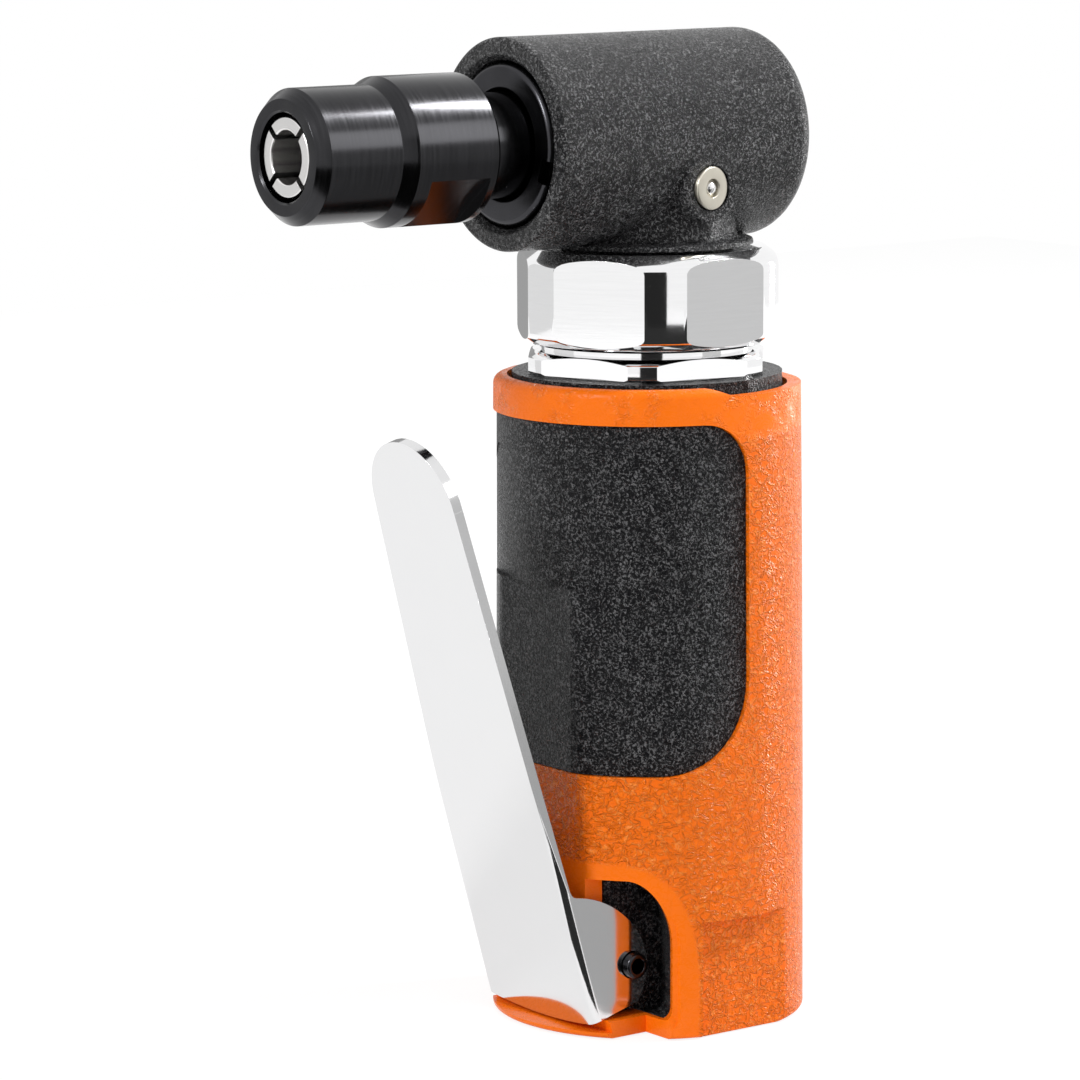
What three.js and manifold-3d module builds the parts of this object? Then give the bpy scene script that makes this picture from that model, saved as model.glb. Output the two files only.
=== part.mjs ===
// Right angle air die grinder: a handle with a vane motor, a throttle lever and a bevel gear head.
// Millimetres, +Z up along the handle, -Y towards the collet, X across the throttle lever.
import * as THREE from 'three';
import { mergeGeometries, mergeVertices } from 'three/addons/utils/BufferGeometryUtils.js';
import Module from 'manifold-3d';

const wasm = await Module();
wasm.setup();

const degrees = THREE.MathUtils.degToRad;

// Clearances and the number of flat facets round each kind of circle
const clearance = 0.3;
const overrun = 4;
const wideFacets = 40;
const midFacets = 24;
const smallFacets = 14;
const tinyFacets = 8;
const windowColumns = 28;
const sectorColumns = 20;

// Handle: orange sleeve over a black housing
const sleeveFlare = 0.5;
const sleeveWall = 2;
const handleHeight = 80.2;
const collarDrop = 1;
const collarEdge = 0.9;
const baseEdge = 0.5;
const housingRimStep = 0.3;
const housingWall = 3.4;
const rimRise = 0.4;
const baseInset = 0.6;
const leverFlatCut = 1.75;
const sleeveSkin = 1.6;
const footSkin = 0.5;
const ledgeHeight = 0.7;
const wrenchFlatCut = 1.45;
const wrenchFlatHeight = 14.5;
const wrenchFlatBehind = 5.15;

// Grip panel let into the front half of the sleeve
const panelBottom = 32.8;
const panelTopMargin = 4.3;
const panelHalfAngle = degrees(92);
const panelTopCorner = 6.3;
const panelBottomCorner = 11.5;
const panelRecess = 0.4;
const scoopHalfAngle = degrees(41);
const scoopBevelAngle = degrees(28);
const scoopMargin = 3.9;
const scoopLength = 16.5;
const scoopBevel = 2.8;
const scoopDepth = 0.7;

// Throttle lever and its pivot
const pivotHeight = 8.55;
const leverTilt = degrees(15.94);
const leverReach = 7.6;
const leverSheet = 1.3;
const leverLength = 70.9;
const leverFootDrop = 4.9;
const leverFootSag = 0.8;
const leverFootWidth = 22.2;
const leverTipWidth = 16.6;
const leverBend = 1;
const earTop = 11.8;
const earBack = 2.4;
const earSideGap = 0.4;
const leverFootGap = 0.5;
const pinRadius = 1.6;
const pinBore = 0.85;
const pinProud = 1.2;

// Pockets that the lever's ears swing in
const pocketBack = 1.5;
const pocketDrop = 6.4;
const pocketRise = 11.3;
const pocketCorner = 1.5;
const pocketSlant = 0.55;
const lipWidth = 0.9;
const lipDepth = 0.9;
const lipInset = 1.2;
const frontFloorBehind = 2.15;
const notchDepth = 2.8;
const notchBack = 1.4;

// Air inlet and exhaust in the base
const inletRadius = 8.2;
const inletBore = 5.9;
const inletLength = 15.5;
const screenThickness = 0.8;
const screenHole = 0.8;
const screenHoles = 6;
const inletPassage = 2.5;
const inletPassageBack = 3.5;
const inletWall = 1.6;
const exhaustWall = 1.5;
const exhaustHalfAngle = degrees(98);
const deflectorHeight = 3;
const deflectorSlots = 9;
const deflectorSlotWidth = 1.3;
const padHeight = 7.8;
const exhaustChannel = 1.7;
const exhaustChannelDrop = 10;
const exhaustChannelAngles = [-85, -50, 50, 85].map(degrees);

// Throttle valve, lying front to back across the handle
const valveFloor = 1.7;
const valveBore = 4.9;
const valveChamberBack = 10.2;
const stemRadius = 1.5;
const stemHead = 3.8;
const stemHeadThickness = 1;
const bushingLength = 4.5;
const bushingSealWidth = 1.2;
const bushingSealDepth = 0.9;
const frontChamber = 5.4;
const valveSeatThickness = 1.8;
const valveSeatBore = 2.6;
const valveWasher = 0.9;
const motorPassage = 2.2;
const springRadius = 2.9;
const springWire = 0.45;
const springTurns = 4;
const springStepsPerTurn = 10;

// Vane motor
const motorFloorWall = 4.6;
const endPlate = 4.4;
const cylinderWall = 2;
const cylinderOffset = 0.8;
const exhaustPort = 1.3;
const exhaustPorts = 3;
const rotorRadius = 10.2;
const rotorGap = 0.4;
const vaneCount = 5;
const vaneThickness = 1;
const vaneDepth = 4.7;
const rearShaft = 2.5;
const frontShaft = 3.4;
const tangSide = 3.6;
const tangLength = 5;
const dowelRadius = 0.8;

// Ball bearings: the thickness of each ring and the width of the ball track
const ringWall = 1.1;
const ballTrack = 1.8;
const bearingWidth = 3.4;
const spindleRingWall = 1.25;
const spindleTrack = 2;
const spindleBearingWidth = 5.6;
const bearingWeb = 0.7;
const ballCount = 6;
const cageShare = 0.7;

// Motor clamp and coupling nut
const clampWall = 3.2;
const clampHexRim = 2.6;
const clampFlatRim = 1.3;
const clampDepth = 9.9;
const clampHexHeight = 2.4;
const clampHexTurn = degrees(20);
const clampChamfer = 1.1;
const clampTop = 5.5;
const threadWall = 2.9;
const couplingGap = 0.9;
const couplingHeight = 11.9;
const couplingRim = 3.5;
const couplingFlatRim = 2.4;
const couplingChamfer = 1.3;
const couplingLip = 3.8;

// Angle head
const headRise = 13.1;
const headWall = 3.09;
const headFront = 22.4;
const rearBearingGap = 2.04;
const headBackEdge = 2.9;
const headFrontEdge = 0.5;
const mouthChamfer = 0.75;
const pilotStep = 1.1;
const flangeRim = 2.2;
const flangeHeight = 0.9;
const pilotLength = 4.1;
const pilotSealWidth = 1;
const snapRing = 0.9;
const snapRingDepth = 1.4;
const pinionBearingSeat = 3.6;
const gearRoom = 1.25;
const pinionShaftRadius = 7.3;
const bossRadius = 4.1;
const bossInset = 0.15;
const bossDrop = 5.6;
const fittingRadius = 2.65;
const fittingDepth = 2.6;
const fittingProud = 0.25;
const fittingBall = 0.95;
const fittingLean = degrees(8);

// Bevel gears
const pinionTeeth = 13;
const gearTeeth = 17;
const pinionPitch = 5.81;
const gearFace = 3.2;
const toothTip = 0.45;
const toothRoot = 0.95;
const toothShares = { root: 0.27, tip: 0.13 };
const pinionHub = 4.8;
const pinionSocket = 4.6;
const gearHub = 5.6;

// Spindle, collet and collet nut
const spindleJournal = 4.4;
const spindleMiddle = 3.9;
const spindleTail = 3;
const spindleCollar = 6.4;
const noseRadius = 6.2;
const noseInset = 8.35;
const taperMouth = 5.3;
const taperRoot = 4.2;
const colletBore = 3.18;
const colletFront = 4.72;
const colletShoulder = 5.5;
const colletGroove = 4.5;
const colletSlot = 0.9;
const colletTailInset = 1.8;
const colletRecess = 0.45;
const colletConeLength = 3.9;
const colletGrooveLength = 3.4;
const nutGap = 6.3;
const nutCollarLength = 12.9;
const nutNoseLength = 12.25;
const nutFrontRadius = 8.1;
const nutBackRadius = 9;
const nutFace = 6.88;
const nutBevel = 1.45;
const nutMouth = 5.3;
const nutStepLength = 1.1;
const nutEdge = 0.3;
const nutFlat = 7.7;
const nutFlatInset = 1.5;
const nutFlatLength = 8.4;
const nutFlatTurn = degrees(-52);

// Bearing retainer in the head's mouth
const retainerSlack = 0.06;
const retainerInner = 6.85;
const retainerThickness = 3;
const retainerInset = 0.1;
const retainerChamfer = 0.7;
const retainerSlot = 3;
const retainerSlotDepth = 1.6;
const retainerSlotTurn = degrees(-18);

// Radii worked out from the rotor outwards
const cylinderBore = rotorRadius + cylinderOffset + rotorGap;
const motorRadius = cylinderBore + cylinderWall;
const motorBore = motorRadius + clearance;
const housingRadius = motorBore + housingWall;
const housingRimRadius = housingRadius - housingRimStep;
const collarRadius = housingRadius + sleeveWall;
const baseRadius = collarRadius + sleeveFlare;
const vaneRoot = rotorRadius - vaneDepth;
const exhaustInner = inletRadius + inletWall;
const exhaustOuter = housingRadius - exhaustWall;
const clampBore = motorRadius - clampWall;
const threadRadius = clampBore + threadWall;
const clampHexRadius = threadRadius + clampHexRim;
const clampHexFlat = threadRadius + clampFlatRim;
const couplingRadius = threadRadius + couplingRim;
const couplingFlat = threadRadius + couplingFlatRim;
const pilotRadius = clampBore - clearance;
const neckRadius = pilotRadius + pilotStep;
const flangeRadius = neckRadius + flangeRim;

// Heights worked out from the base upwards, and from the collar down to the motor
const screenTop = clearance + inletLength + clearance + screenThickness;
const valveHeight = screenTop + valveFloor + valveBore;
const motorFloor = valveHeight + valveBore + motorFloorWall;
const housingTop = handleHeight + rimRise;
const panelTop = handleHeight - panelTopMargin;
const scoopTop = panelTop - scoopMargin;
const leverFlatTop = scoopTop - scoopLength;
const clampHexBottom = housingTop + clearance;
const clampBottom = clampHexBottom - clampDepth;
const frontPlateBottom = clampBottom - clearance - endPlate;
const rearPlateBottom = motorFloor + clearance;
const cylinderBottom = rearPlateBottom + endPlate + clearance;
const cylinderLength = frontPlateBottom - clearance - cylinderBottom;
const exhaustChannelTop = cylinderBottom + cylinderLength - exhaustChannelDrop;
const clampHexTop = clampHexBottom + clampHexHeight;
const couplingBottom = clampHexTop + couplingGap;
const couplingTop = couplingBottom + couplingHeight;
const flangeBottom = couplingTop + clearance;
const headAxis = flangeBottom + headRise;

// Faces that several pieces share, and the lever's pivot, which lays the lever on its flat
const sleeveBore = housingRadius + clearance;
const leverFlat = collarRadius - leverFlatCut;
const motorFlat = leverFlat - sleeveSkin - clearance;
const pivotForward = leverFlat - leverReach + leverSheet;
const frontFloorBack = pivotForward - frontFloorBehind;
const wrenchFlatFront = pivotForward - wrenchFlatBehind;
const earInside = leverFootWidth / 2 - leverSheet;
const blockHalf = earInside - earSideGap;

// The head round its gears and bearings, and the nut in front of it
const gearPitch = pinionPitch * gearTeeth / pinionTeeth;
const gearChamberRadius = gearPitch + toothTip + gearRoom;
const retainerOuter = bearingOutside(spindleJournal, spindleRingWall, spindleTrack) + retainerSlack;
const headRadius = retainerOuter + headWall;
const bossReach = headRadius - bossInset;
const rearBearingFront = pinionPitch + toothTip + rearBearingGap;
const headBack = rearBearingFront + bearingWidth + ringWall * 2 + headBackEdge;
const nutBack = headFront + nutGap;
const nutFlatBack = nutBack + nutFlatInset;
const nutFlatFront = nutFlatBack + nutFlatLength;
const nutStepFront = nutBack + nutCollarLength;
const nutFront = nutStepFront + nutNoseLength;
const noseLength = nutFront - nutBack - noseInset;
const colletLength = nutFront - nutBack - colletRecess - colletTailInset;

// Materials
function finish(color, roughness, metalness) {
  return new THREE.MeshStandardMaterial({ color, roughness, metalness });
}
const looks = {
  orange: () => finish(0xf06e0a, 0.5, 0),
  rubber: () => finish(0x2d2d30, 0.8, 0),
  housing: () => finish(0x1c1c1e, 0.7, 0),
  casting: () => finish(0x232326, 0.6, 0.3),
  chrome: () => finish(0xe6e6e8, 0.12, 1),
  darkSteel: () => finish(0x3a3b3e, 0.35, 0.9),
  steel: () => finish(0xb4b6ba, 0.3, 1),
  stainless: () => finish(0xd8d9dc, 0.15, 1),
  nickel: () => finish(0xc9c3b2, 0.35, 0.9),
  brass: () => finish(0xb8903c, 0.35, 1),
  seal: () => finish(0x111111, 0.7, 0),
  felt: () => finish(0x8a8a84, 0.95, 0),
  vane: () => finish(0x6b4a2a, 0.8, 0),
};

// From a three.js geometry to a solid, and back to a named mesh
function solid(geometry) {
  const bare = geometry.clone();
  bare.deleteAttribute('normal');
  bare.deleteAttribute('uv');
  const merged = mergeVertices(bare, 1e-5);
  return new wasm.Manifold(new wasm.Mesh({
    numProp: 3,
    vertProperties: new Float32Array(merged.attributes.position.array),
    triVerts: new Uint32Array(merged.index.array),
  }));
}

function piece(name, body, material) {
  const { vertProperties, triVerts } = body.getMesh();
  const geometry = new THREE.BufferGeometry();
  geometry.setAttribute('position', new THREE.BufferAttribute(vertProperties, 3));
  geometry.setIndex(new THREE.BufferAttribute(triVerts, 1));
  geometry.computeVertexNormals();
  const mesh = new THREE.Mesh(geometry, material());
  mesh.name = name;
  return mesh;
}

// A profile of [radius, height] pairs turned about the handle's axis
function turned(profile, facets = wideFacets) {
  const points = profile.map(([radius, height]) => new THREE.Vector2(radius, height));
  points.push(points[0].clone());
  return solid(new THREE.LatheGeometry(points, facets).rotateX(Math.PI / 2));
}

// A profile of [radius, y] pairs turned about the head's axis
function turnedOnHead(profile, facets = midFacets) {
  const points = profile.map(([radius, y]) => new THREE.Vector2(radius, y));
  points.push(points[0].clone());
  return solid(new THREE.LatheGeometry(points, facets).translate(0, 0, headAxis));
}

function tube(inner, outer, bottom, top, facets) {
  return turned([[inner, bottom], [outer, bottom], [outer, top], [inner, top]], facets);
}

function rod(radius, bottom, top, facets = smallFacets, x = 0, y = 0) {
  const geometry = new THREE.CylinderGeometry(radius, radius, top - bottom, facets);
  return solid(geometry.rotateX(Math.PI / 2).translate(x, y, (bottom + top) / 2));
}

// A rod along Y from front to back, centred on (x, z)
function rodAlongY(radius, front, back, z, x = 0, facets = smallFacets) {
  const geometry = new THREE.CylinderGeometry(radius, radius, back - front, facets);
  return solid(geometry.translate(x, (front + back) / 2, z));
}

function tubeAlongY(inner, outer, front, back, z, facets = smallFacets) {
  return rodAlongY(outer, front, back, z, 0, facets)
    .subtract(rodAlongY(inner, front - overrun, back + overrun, z, 0, facets));
}

// A rod along X between two places, centred on (y, z)
function rodAlongX(radius, left, right, y, z, facets = smallFacets) {
  const geometry = new THREE.CylinderGeometry(radius, radius, right - left, facets);
  return solid(geometry.rotateZ(Math.PI / 2).translate((left + right) / 2, y, z));
}

function block(x0, x1, y0, y1, z0, z1) {
  const geometry = new THREE.BoxGeometry(x1 - x0, y1 - y0, z1 - z0);
  return solid(geometry.translate((x0 + x1) / 2, (y0 + y1) / 2, (z0 + z1) / 2));
}

// A block that turns with an angle about the handle's axis
function turnedBlock(angle, x0, x1, y0, y1, z0, z1) {
  const geometry = new THREE.BoxGeometry(x1 - x0, y1 - y0, z1 - z0);
  geometry.translate((x0 + x1) / 2, (y0 + y1) / 2, (z0 + z1) / 2);
  return solid(geometry.rotateZ(angle));
}

// A part of a ring between two angles from the front, with its own edge heights and radii.
// heights(angle) gives the low and high edge; radii(height) gives the inner and outer radius.
function ringSector(from, to, columns, rows, heights, radii) {
  const positions = [];
  const index = [];
  const ring = 2 * (rows + 1);
  for (let i = 0; i <= columns; i += 1) {
    const angle = from + (to - from) * i / columns;
    const [low, high] = heights(angle);
    const steps = Array.from({ length: rows + 1 }, (_, j) => low + (high - low) * j / rows);
    const inner = steps.map((height) => [radii(height)[0], height]);
    const outer = steps.map((height) => [radii(height)[1], height]).reverse();
    for (const [radius, height] of [...inner, ...outer]) {
      positions.push(radius * Math.sin(angle), -radius * Math.cos(angle), height);
    }
  }
  for (let i = 0; i < columns; i += 1) {
    for (let j = 0; j < ring; j += 1) {
      const a = i * ring + j;
      const b = i * ring + (j + 1) % ring;
      index.push(a, b, b + ring, a, b + ring, a + ring);
    }
  }
  for (let j = 0; j < rows; j += 1) {
    const mirror = ring - 1 - j;
    index.push(j, mirror, j + 1, j + 1, mirror, mirror - 1);
    const last = columns * ring;
    index.push(last + j, last + j + 1, last + mirror, last + j + 1, last + mirror - 1, last + mirror);
  }
  const geometry = new THREE.BufferGeometry();
  geometry.setAttribute('position', new THREE.Float32BufferAttribute(positions, 3));
  geometry.setIndex(index);
  return solid(geometry);
}

function unite(solids) {
  return solids.reduce((whole, next) => whole.add(next));
}

// Height limits of a band whose four corners are rounded, seen from outside
function roundedBand(low, high, halfAngle, lowCorner, highCorner, radius) {
  return (angle) => {
    const side = (halfAngle - Math.abs(angle)) * radius;
    const lift = (corner) => (side >= corner ? 0
      : corner - Math.sqrt(Math.max(0, corner ** 2 - (corner - side) ** 2)));
    return [low + lift(lowCorner), high - lift(highCorner)];
  };
}

function sleeveRadiusAt(height) {
  return baseRadius + (collarRadius - baseRadius) * height / handleHeight;
}

// Half-space in front of the lever's inner face at rest, kept a gap behind it
function footRecess() {
  const face = leverReach - leverSheet - leverFootGap;
  const size = handleHeight;
  const geometry = new THREE.BoxGeometry(size, size, size);
  geometry.translate(0, -size / 2 - face, 0);
  geometry.rotateX(leverTilt);
  geometry.translate(0, -pivotForward, pivotHeight);
  const floor = block(-size, size, -size, size, -size, ledgeHeight);
  return solid(geometry).subtract(floor);
}

// The outline of an ear's pocket, as seen from the side: x runs back, y runs up
function pocketOutline() {
  const back = -pivotForward + pocketBack;
  const bottom = pivotHeight - pocketDrop;
  const top = pivotHeight + pocketRise;
  const front = -baseRadius - overrun;
  const turn = { backShare: 0.28, riseShare: 0.62, frontShare: 0.58 };
  const outline = new THREE.Shape();
  outline.moveTo(front, bottom);
  outline.lineTo(back - pocketCorner, bottom);
  outline.quadraticCurveTo(back, bottom, back, bottom + pocketCorner);
  outline.lineTo(back, pivotHeight + pocketRise * turn.backShare);
  outline.bezierCurveTo(back, pivotHeight + pocketRise * turn.riseShare,
    back - pocketRise * turn.backShare, top, back - pocketRise * turn.frontShare, top);
  outline.lineTo(front, top);
  outline.closePath();
  return outline;
}

// A prism of an outline in the Y-Z plane, running along X, with an optional bevel at its inner end
function prismAlongX(outline, from, to, bevel = 0, spread = 0) {
  const settings = { depth: to - from, bevelEnabled: bevel > 0, curveSegments: 8 };
  if (bevel > 0) {
    Object.assign(settings, { bevelThickness: bevel, bevelSize: spread, bevelSegments: 1 });
  }
  const geometry = new THREE.ExtrudeGeometry(outline, settings);
  const axes = new THREE.Matrix4().makeBasis(
    new THREE.Vector3(0, 1, 0), new THREE.Vector3(0, 0, 1), new THREE.Vector3(1, 0, 0));
  return geometry.applyMatrix4(axes).translate(from, 0, 0);
}

// One pocket on side +1 or -1. Its back wall slants back towards the middle of the handle.
function earPocket(side) {
  const geometry = prismAlongX(pocketOutline(), blockHalf, baseRadius + overrun);
  const places = geometry.attributes.position;
  for (let i = 0; i < places.count; i += 1) {
    const depth = sleeveBore - places.getX(i);
    places.setY(i, places.getY(i) + pocketSlant * depth);
  }
  const pocket = solid(geometry);
  return side > 0 ? pocket : pocket.mirror([1, 0, 0]);
}

// The smooth lip round a pocket's mouth, and the notch under it
function pocketLip(side) {
  const from = sleeveBore - lipInset;
  const lip = solid(prismAlongX(pocketOutline(), from + lipDepth, baseRadius + overrun, lipDepth, lipWidth));
  const notchX = blockHalf + notchDepth;
  const notchY = -pivotForward + notchBack;
  const notch = block(notchX, baseRadius + overrun, -baseRadius - overrun, notchY, -overrun,
    pivotHeight - pocketDrop + lipWidth * 2);
  const both = lip.add(notch);
  return side > 0 ? both : both.mirror([1, 0, 0]);
}

// The sleeve's floor in front of the inlet, which closes the pockets from below
function frontFloor(grow) {
  const size = baseRadius + overrun;
  return block(-size, size, -size, -frontFloorBack + grow, -overrun, pivotHeight - pocketDrop + grow);
}

// The hole across the handle for the lever's pin
function pinHole() {
  return rodAlongX(pinRadius + clearance / 2, -baseRadius, baseRadius, -pivotForward, pivotHeight);
}

// The housing's outside, grown by a gap for what fits round it
function housingEnvelope(grow) {
  const radius = housingRadius + grow;
  const size = baseRadius + overrun;
  const bottom = baseInset - (grow > 0 ? size : 0);
  const shell = turned([[0, bottom], [radius, bottom], [radius, panelTop],
    [housingRimRadius + grow, handleHeight - collarEdge], [housingRimRadius + grow, housingTop], [0, housingTop]]);
  const lowFlat = leverFlat - sleeveSkin - clearance - (motorFlat - footFlat());
  const low = block(-size, size, -size - lowFlat - grow, -lowFlat - grow, -size, motorFloor - clearance * 2 - grow);
  const high = block(-size, size, -size - motorFlat - grow, -motorFlat - grow, -size, leverFlatTop - grow);
  return shell.subtract(low).subtract(high);
}

// How far the housing's front flat stands from the axis beside the lever's foot
function footFlat() {
  const face = leverReach - leverSheet - leverFootGap;
  const drop = pivotHeight - ledgeHeight;
  const foot = pivotForward + (face - drop * Math.sin(leverTilt)) / Math.cos(leverTilt);
  return foot - footSkin - clearance;
}

function orangeSleeve() {
  const outside = turned([[0, 0], [baseRadius - baseEdge, 0], [baseRadius, baseEdge],
    [collarRadius, handleHeight - collarEdge], [collarRadius - collarEdge * 0.3, handleHeight - collarEdge * 0.3],
    [collarRadius - collarEdge, handleHeight], [0, handleHeight]]);
  const size = baseRadius + overrun;
  const rearStep = block(-size, size, 0, size, handleHeight - collarDrop, handleHeight + overrun);
  const flat = block(-size, size, -size, -leverFlat, ledgeHeight, leverFlatTop);
  const side = sleeveRadiusAt(wrenchFlatHeight / 2) - wrenchFlatCut;
  const window = ringSector(-panelHalfAngle, panelHalfAngle, windowColumns, 1,
    roundedBand(panelBottom, panelTop, panelHalfAngle, panelBottomCorner, panelTopCorner, collarRadius),
    () => [housingRadius - overrun / 2, baseRadius + overrun]);
  let body = outside.subtract(housingEnvelope(clearance)).add(outside.intersect(frontFloor(0)));
  body = body.subtract(rearStep).subtract(flat)
    .subtract(footRecess()).subtract(window).subtract(pinHole());
  for (const hand of [1, -1]) {
    const flatSide = block(side, size, -size, size, -overrun, wrenchFlatHeight);
    const behindPocket = block(side, size, -wrenchFlatFront, size, -overrun, wrenchFlatHeight);
    const wrench = flatSide.intersect(behindPocket);
    body = body.subtract(earPocket(hand)).subtract(pocketLip(hand))
      .subtract(hand > 0 ? wrench : wrench.mirror([1, 0, 0]));
  }
  body = body.subtract(rodAlongY(stemRadius + clearance * 2, -size, -pivotForward, valveHeight));
  return piece('orange_sleeve', body, looks.orange);
}

function gripPanel() {
  const inset = clearance / collarRadius;
  const half = panelHalfAngle - inset;
  const inner = housingRadius + clearance;
  const band = roundedBand(panelBottom + clearance, panelTop - clearance, half,
    panelBottomCorner - clearance, panelTopCorner - clearance, collarRadius);
  const slab = ringSector(-half, half, windowColumns, 1, band, (height) => [inner - sleeveSkin * 2,
    sleeveRadiusAt(height) - panelRecess]);
  const scoop = ringSector(-scoopHalfAngle, scoopHalfAngle, 16, 1, (angle) => {
    const past = Math.max(0, Math.abs(angle) - scoopBevelAngle) / (scoopHalfAngle - scoopBevelAngle);
    return [leverFlatTop, scoopTop - scoopBevel * past];
  }, (height) => {
    const sink = scoopDepth * (scoopTop - height) / (scoopTop - leverFlatTop);
    return [sleeveRadiusAt(height) - panelRecess - sink, baseRadius + overrun];
  });
  const size = baseRadius + overrun;
  const flat = block(-size, size, -size, -leverFlat, 0, leverFlatTop);
  const body = slab.subtract(housingEnvelope(clearance)).subtract(scoop).subtract(flat);
  return piece('grip_panel', body, looks.rubber);
}

function motorHousing() {
  let body = housingEnvelope(0).subtract(frontFloor(clearance));
  body = body.subtract(rod(motorBore, motorFloor, housingTop + overrun, wideFacets));
  body = body.subtract(rod(inletRadius + clearance, -overrun, screenTop + clearance, midFacets));
  body = body.subtract(rod(inletPassage, inletLength, valveHeight, smallFacets, 0, inletPassageBack));
  body = body.subtract(rodAlongY(valveBore, -baseRadius, valveChamberBack, valveHeight));
  body = body.subtract(rod(motorPassage, valveHeight, motorFloor + overrun, smallFacets, 0, motorPassageY()));
  body = body.subtract(exhaustSector(0, baseInset - overrun, exhaustTop() + clearance));
  for (const angle of exhaustChannelAngles) {
    const channelRadius = exhaustOuter - exhaustChannel;
    body = body.subtract(rod(exhaustChannel, baseInset, exhaustChannelTop, smallFacets,
      channelRadius * Math.sin(angle), channelRadius * Math.cos(angle)));
  }
  for (const hand of [1, -1]) {
    body = body.subtract(earPocket(hand)).subtract(pocketLip(hand));
  }
  body = body.subtract(pinHole()).subtract(footRecess());
  return piece('motor_housing', body, looks.housing);
}

function exhaustTop() {
  return baseInset + deflectorHeight + clearance + padHeight;
}

// Part of a ring round the back of the inlet, smaller all round by a gap
function exhaustSector(gap, bottom, top) {
  const turn = gap / exhaustOuter;
  const half = exhaustHalfAngle - turn;
  return ringSector(Math.PI - half, Math.PI + half, sectorColumns, 1, () => [bottom, top],
    () => [exhaustInner + gap, exhaustOuter - gap]);
}

function exhaustPieces() {
  let deflector = exhaustSector(clearance, baseInset, baseInset + deflectorHeight);
  const span = exhaustHalfAngle * 2 * 0.9;
  for (let i = 0; i < deflectorSlots; i += 1) {
    const angle = Math.PI - span / 2 + span * i / (deflectorSlots - 1);
    const edge = ringWall;
    deflector = deflector.subtract(turnedBlock(angle, -deflectorSlotWidth / 2, deflectorSlotWidth / 2,
      -exhaustOuter + edge, -exhaustInner - edge, -overrun, deflectorHeight + overrun));
  }
  const padBottom = baseInset + deflectorHeight + clearance;
  const pad = exhaustSector(clearance, padBottom, padBottom + padHeight);
  return [piece('exhaust_deflector', deflector, looks.housing), piece('muffler_pad', pad, looks.felt)];
}

function inletPieces() {
  const edge = nutEdge * 2;
  const bushing = turned([[inletBore + edge, clearance], [inletRadius, clearance],
    [inletRadius, clearance + inletLength], [inletBore, clearance + inletLength],
    [inletBore, clearance + edge]], midFacets);
  const screenBottom = clearance + inletLength + clearance;
  let screen = rod(inletRadius, screenBottom, screenTop, midFacets);
  const places = [[0, 0]];
  for (let i = 0; i < screenHoles; i += 1) {
    const angle = 2 * Math.PI * i / screenHoles;
    places.push([inletBore / 2 * Math.cos(angle), inletBore / 2 * Math.sin(angle)]);
  }
  for (const [x, y] of places) {
    screen = screen.subtract(rod(screenHole, screenBottom - overrun, screenTop + overrun, tinyFacets, x, y));
  }
  return [piece('air_inlet_bushing', bushing, looks.steel), piece('inlet_screen', screen, looks.steel)];
}

// Places along the valve, worked out from the front of the housing
function valvePlaces() {
  const bushingFront = -footFlat() + clearance;
  const bushingBack = bushingFront + bushingLength;
  const seatFront = bushingBack + frontChamber;
  const seatBack = seatFront + valveSeatThickness;
  const washerFront = seatBack + clearance;
  const headFace = washerFront + valveWasher + clearance;
  const springFront = headFace + stemHeadThickness + clearance;
  const springBack = valveChamberBack - clearance;
  return { bushingFront, bushingBack, seatFront, seatBack, washerFront, headFace, springFront, springBack };
}

function motorPassageY() {
  const { bushingBack, seatFront } = valvePlaces();
  return (bushingBack + seatFront) / 2;
}

// Where the stem's round tip meets the lever's inner face at rest
function stemTip() {
  const rise = valveHeight - pivotHeight;
  const face = pivotForward + (leverReach - leverSheet) / Math.cos(leverTilt) + rise * Math.tan(leverTilt);
  return -face + clearance / Math.cos(leverTilt) + stemRadius * Math.tan(leverTilt) / 2;
}

function valvePieces() {
  const at = valvePlaces();
  const outer = valveBore - clearance;
  let bushing = tubeAlongY(stemRadius + clearance, outer, at.bushingFront, at.bushingBack, valveHeight);
  const grooveFront = (at.bushingFront + at.bushingBack - bushingSealWidth) / 2;
  const grooveBack = grooveFront + bushingSealWidth;
  bushing = bushing.subtract(tubeAlongY(outer - bushingSealDepth - clearance, valveBore + overrun,
    grooveFront - clearance, grooveBack + clearance, valveHeight));
  const ring = tubeAlongY(outer - bushingSealDepth, outer, grooveFront, grooveBack, valveHeight);
  const seat = tubeAlongY(valveSeatBore, outer, at.seatFront, at.seatBack, valveHeight);
  const tip = stemTip();
  const dome = solid(new THREE.SphereGeometry(stemRadius, smallFacets, 6).scale(1, 0.5, 1)
    .translate(0, tip + stemRadius / 2, valveHeight));
  const stem = rodAlongY(stemRadius, tip + stemRadius / 2, at.headFace + stemHeadThickness / 2, valveHeight)
    .add(dome)
    .add(rodAlongY(stemHead, at.headFace, at.headFace + stemHeadThickness, valveHeight));
  const washer = tubeAlongY(stemRadius + clearance, stemHead, at.washerFront,
    at.washerFront + valveWasher, valveHeight);
  return [piece('valve_bushing', bushing, looks.brass), piece('bushing_seal', ring, looks.seal),
    piece('valve_seat', seat, looks.brass), piece('valve_stem', stem, looks.steel),
    piece('valve_washer', washer, looks.seal), valveSpring(at.springFront, at.springBack)];
}

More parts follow.
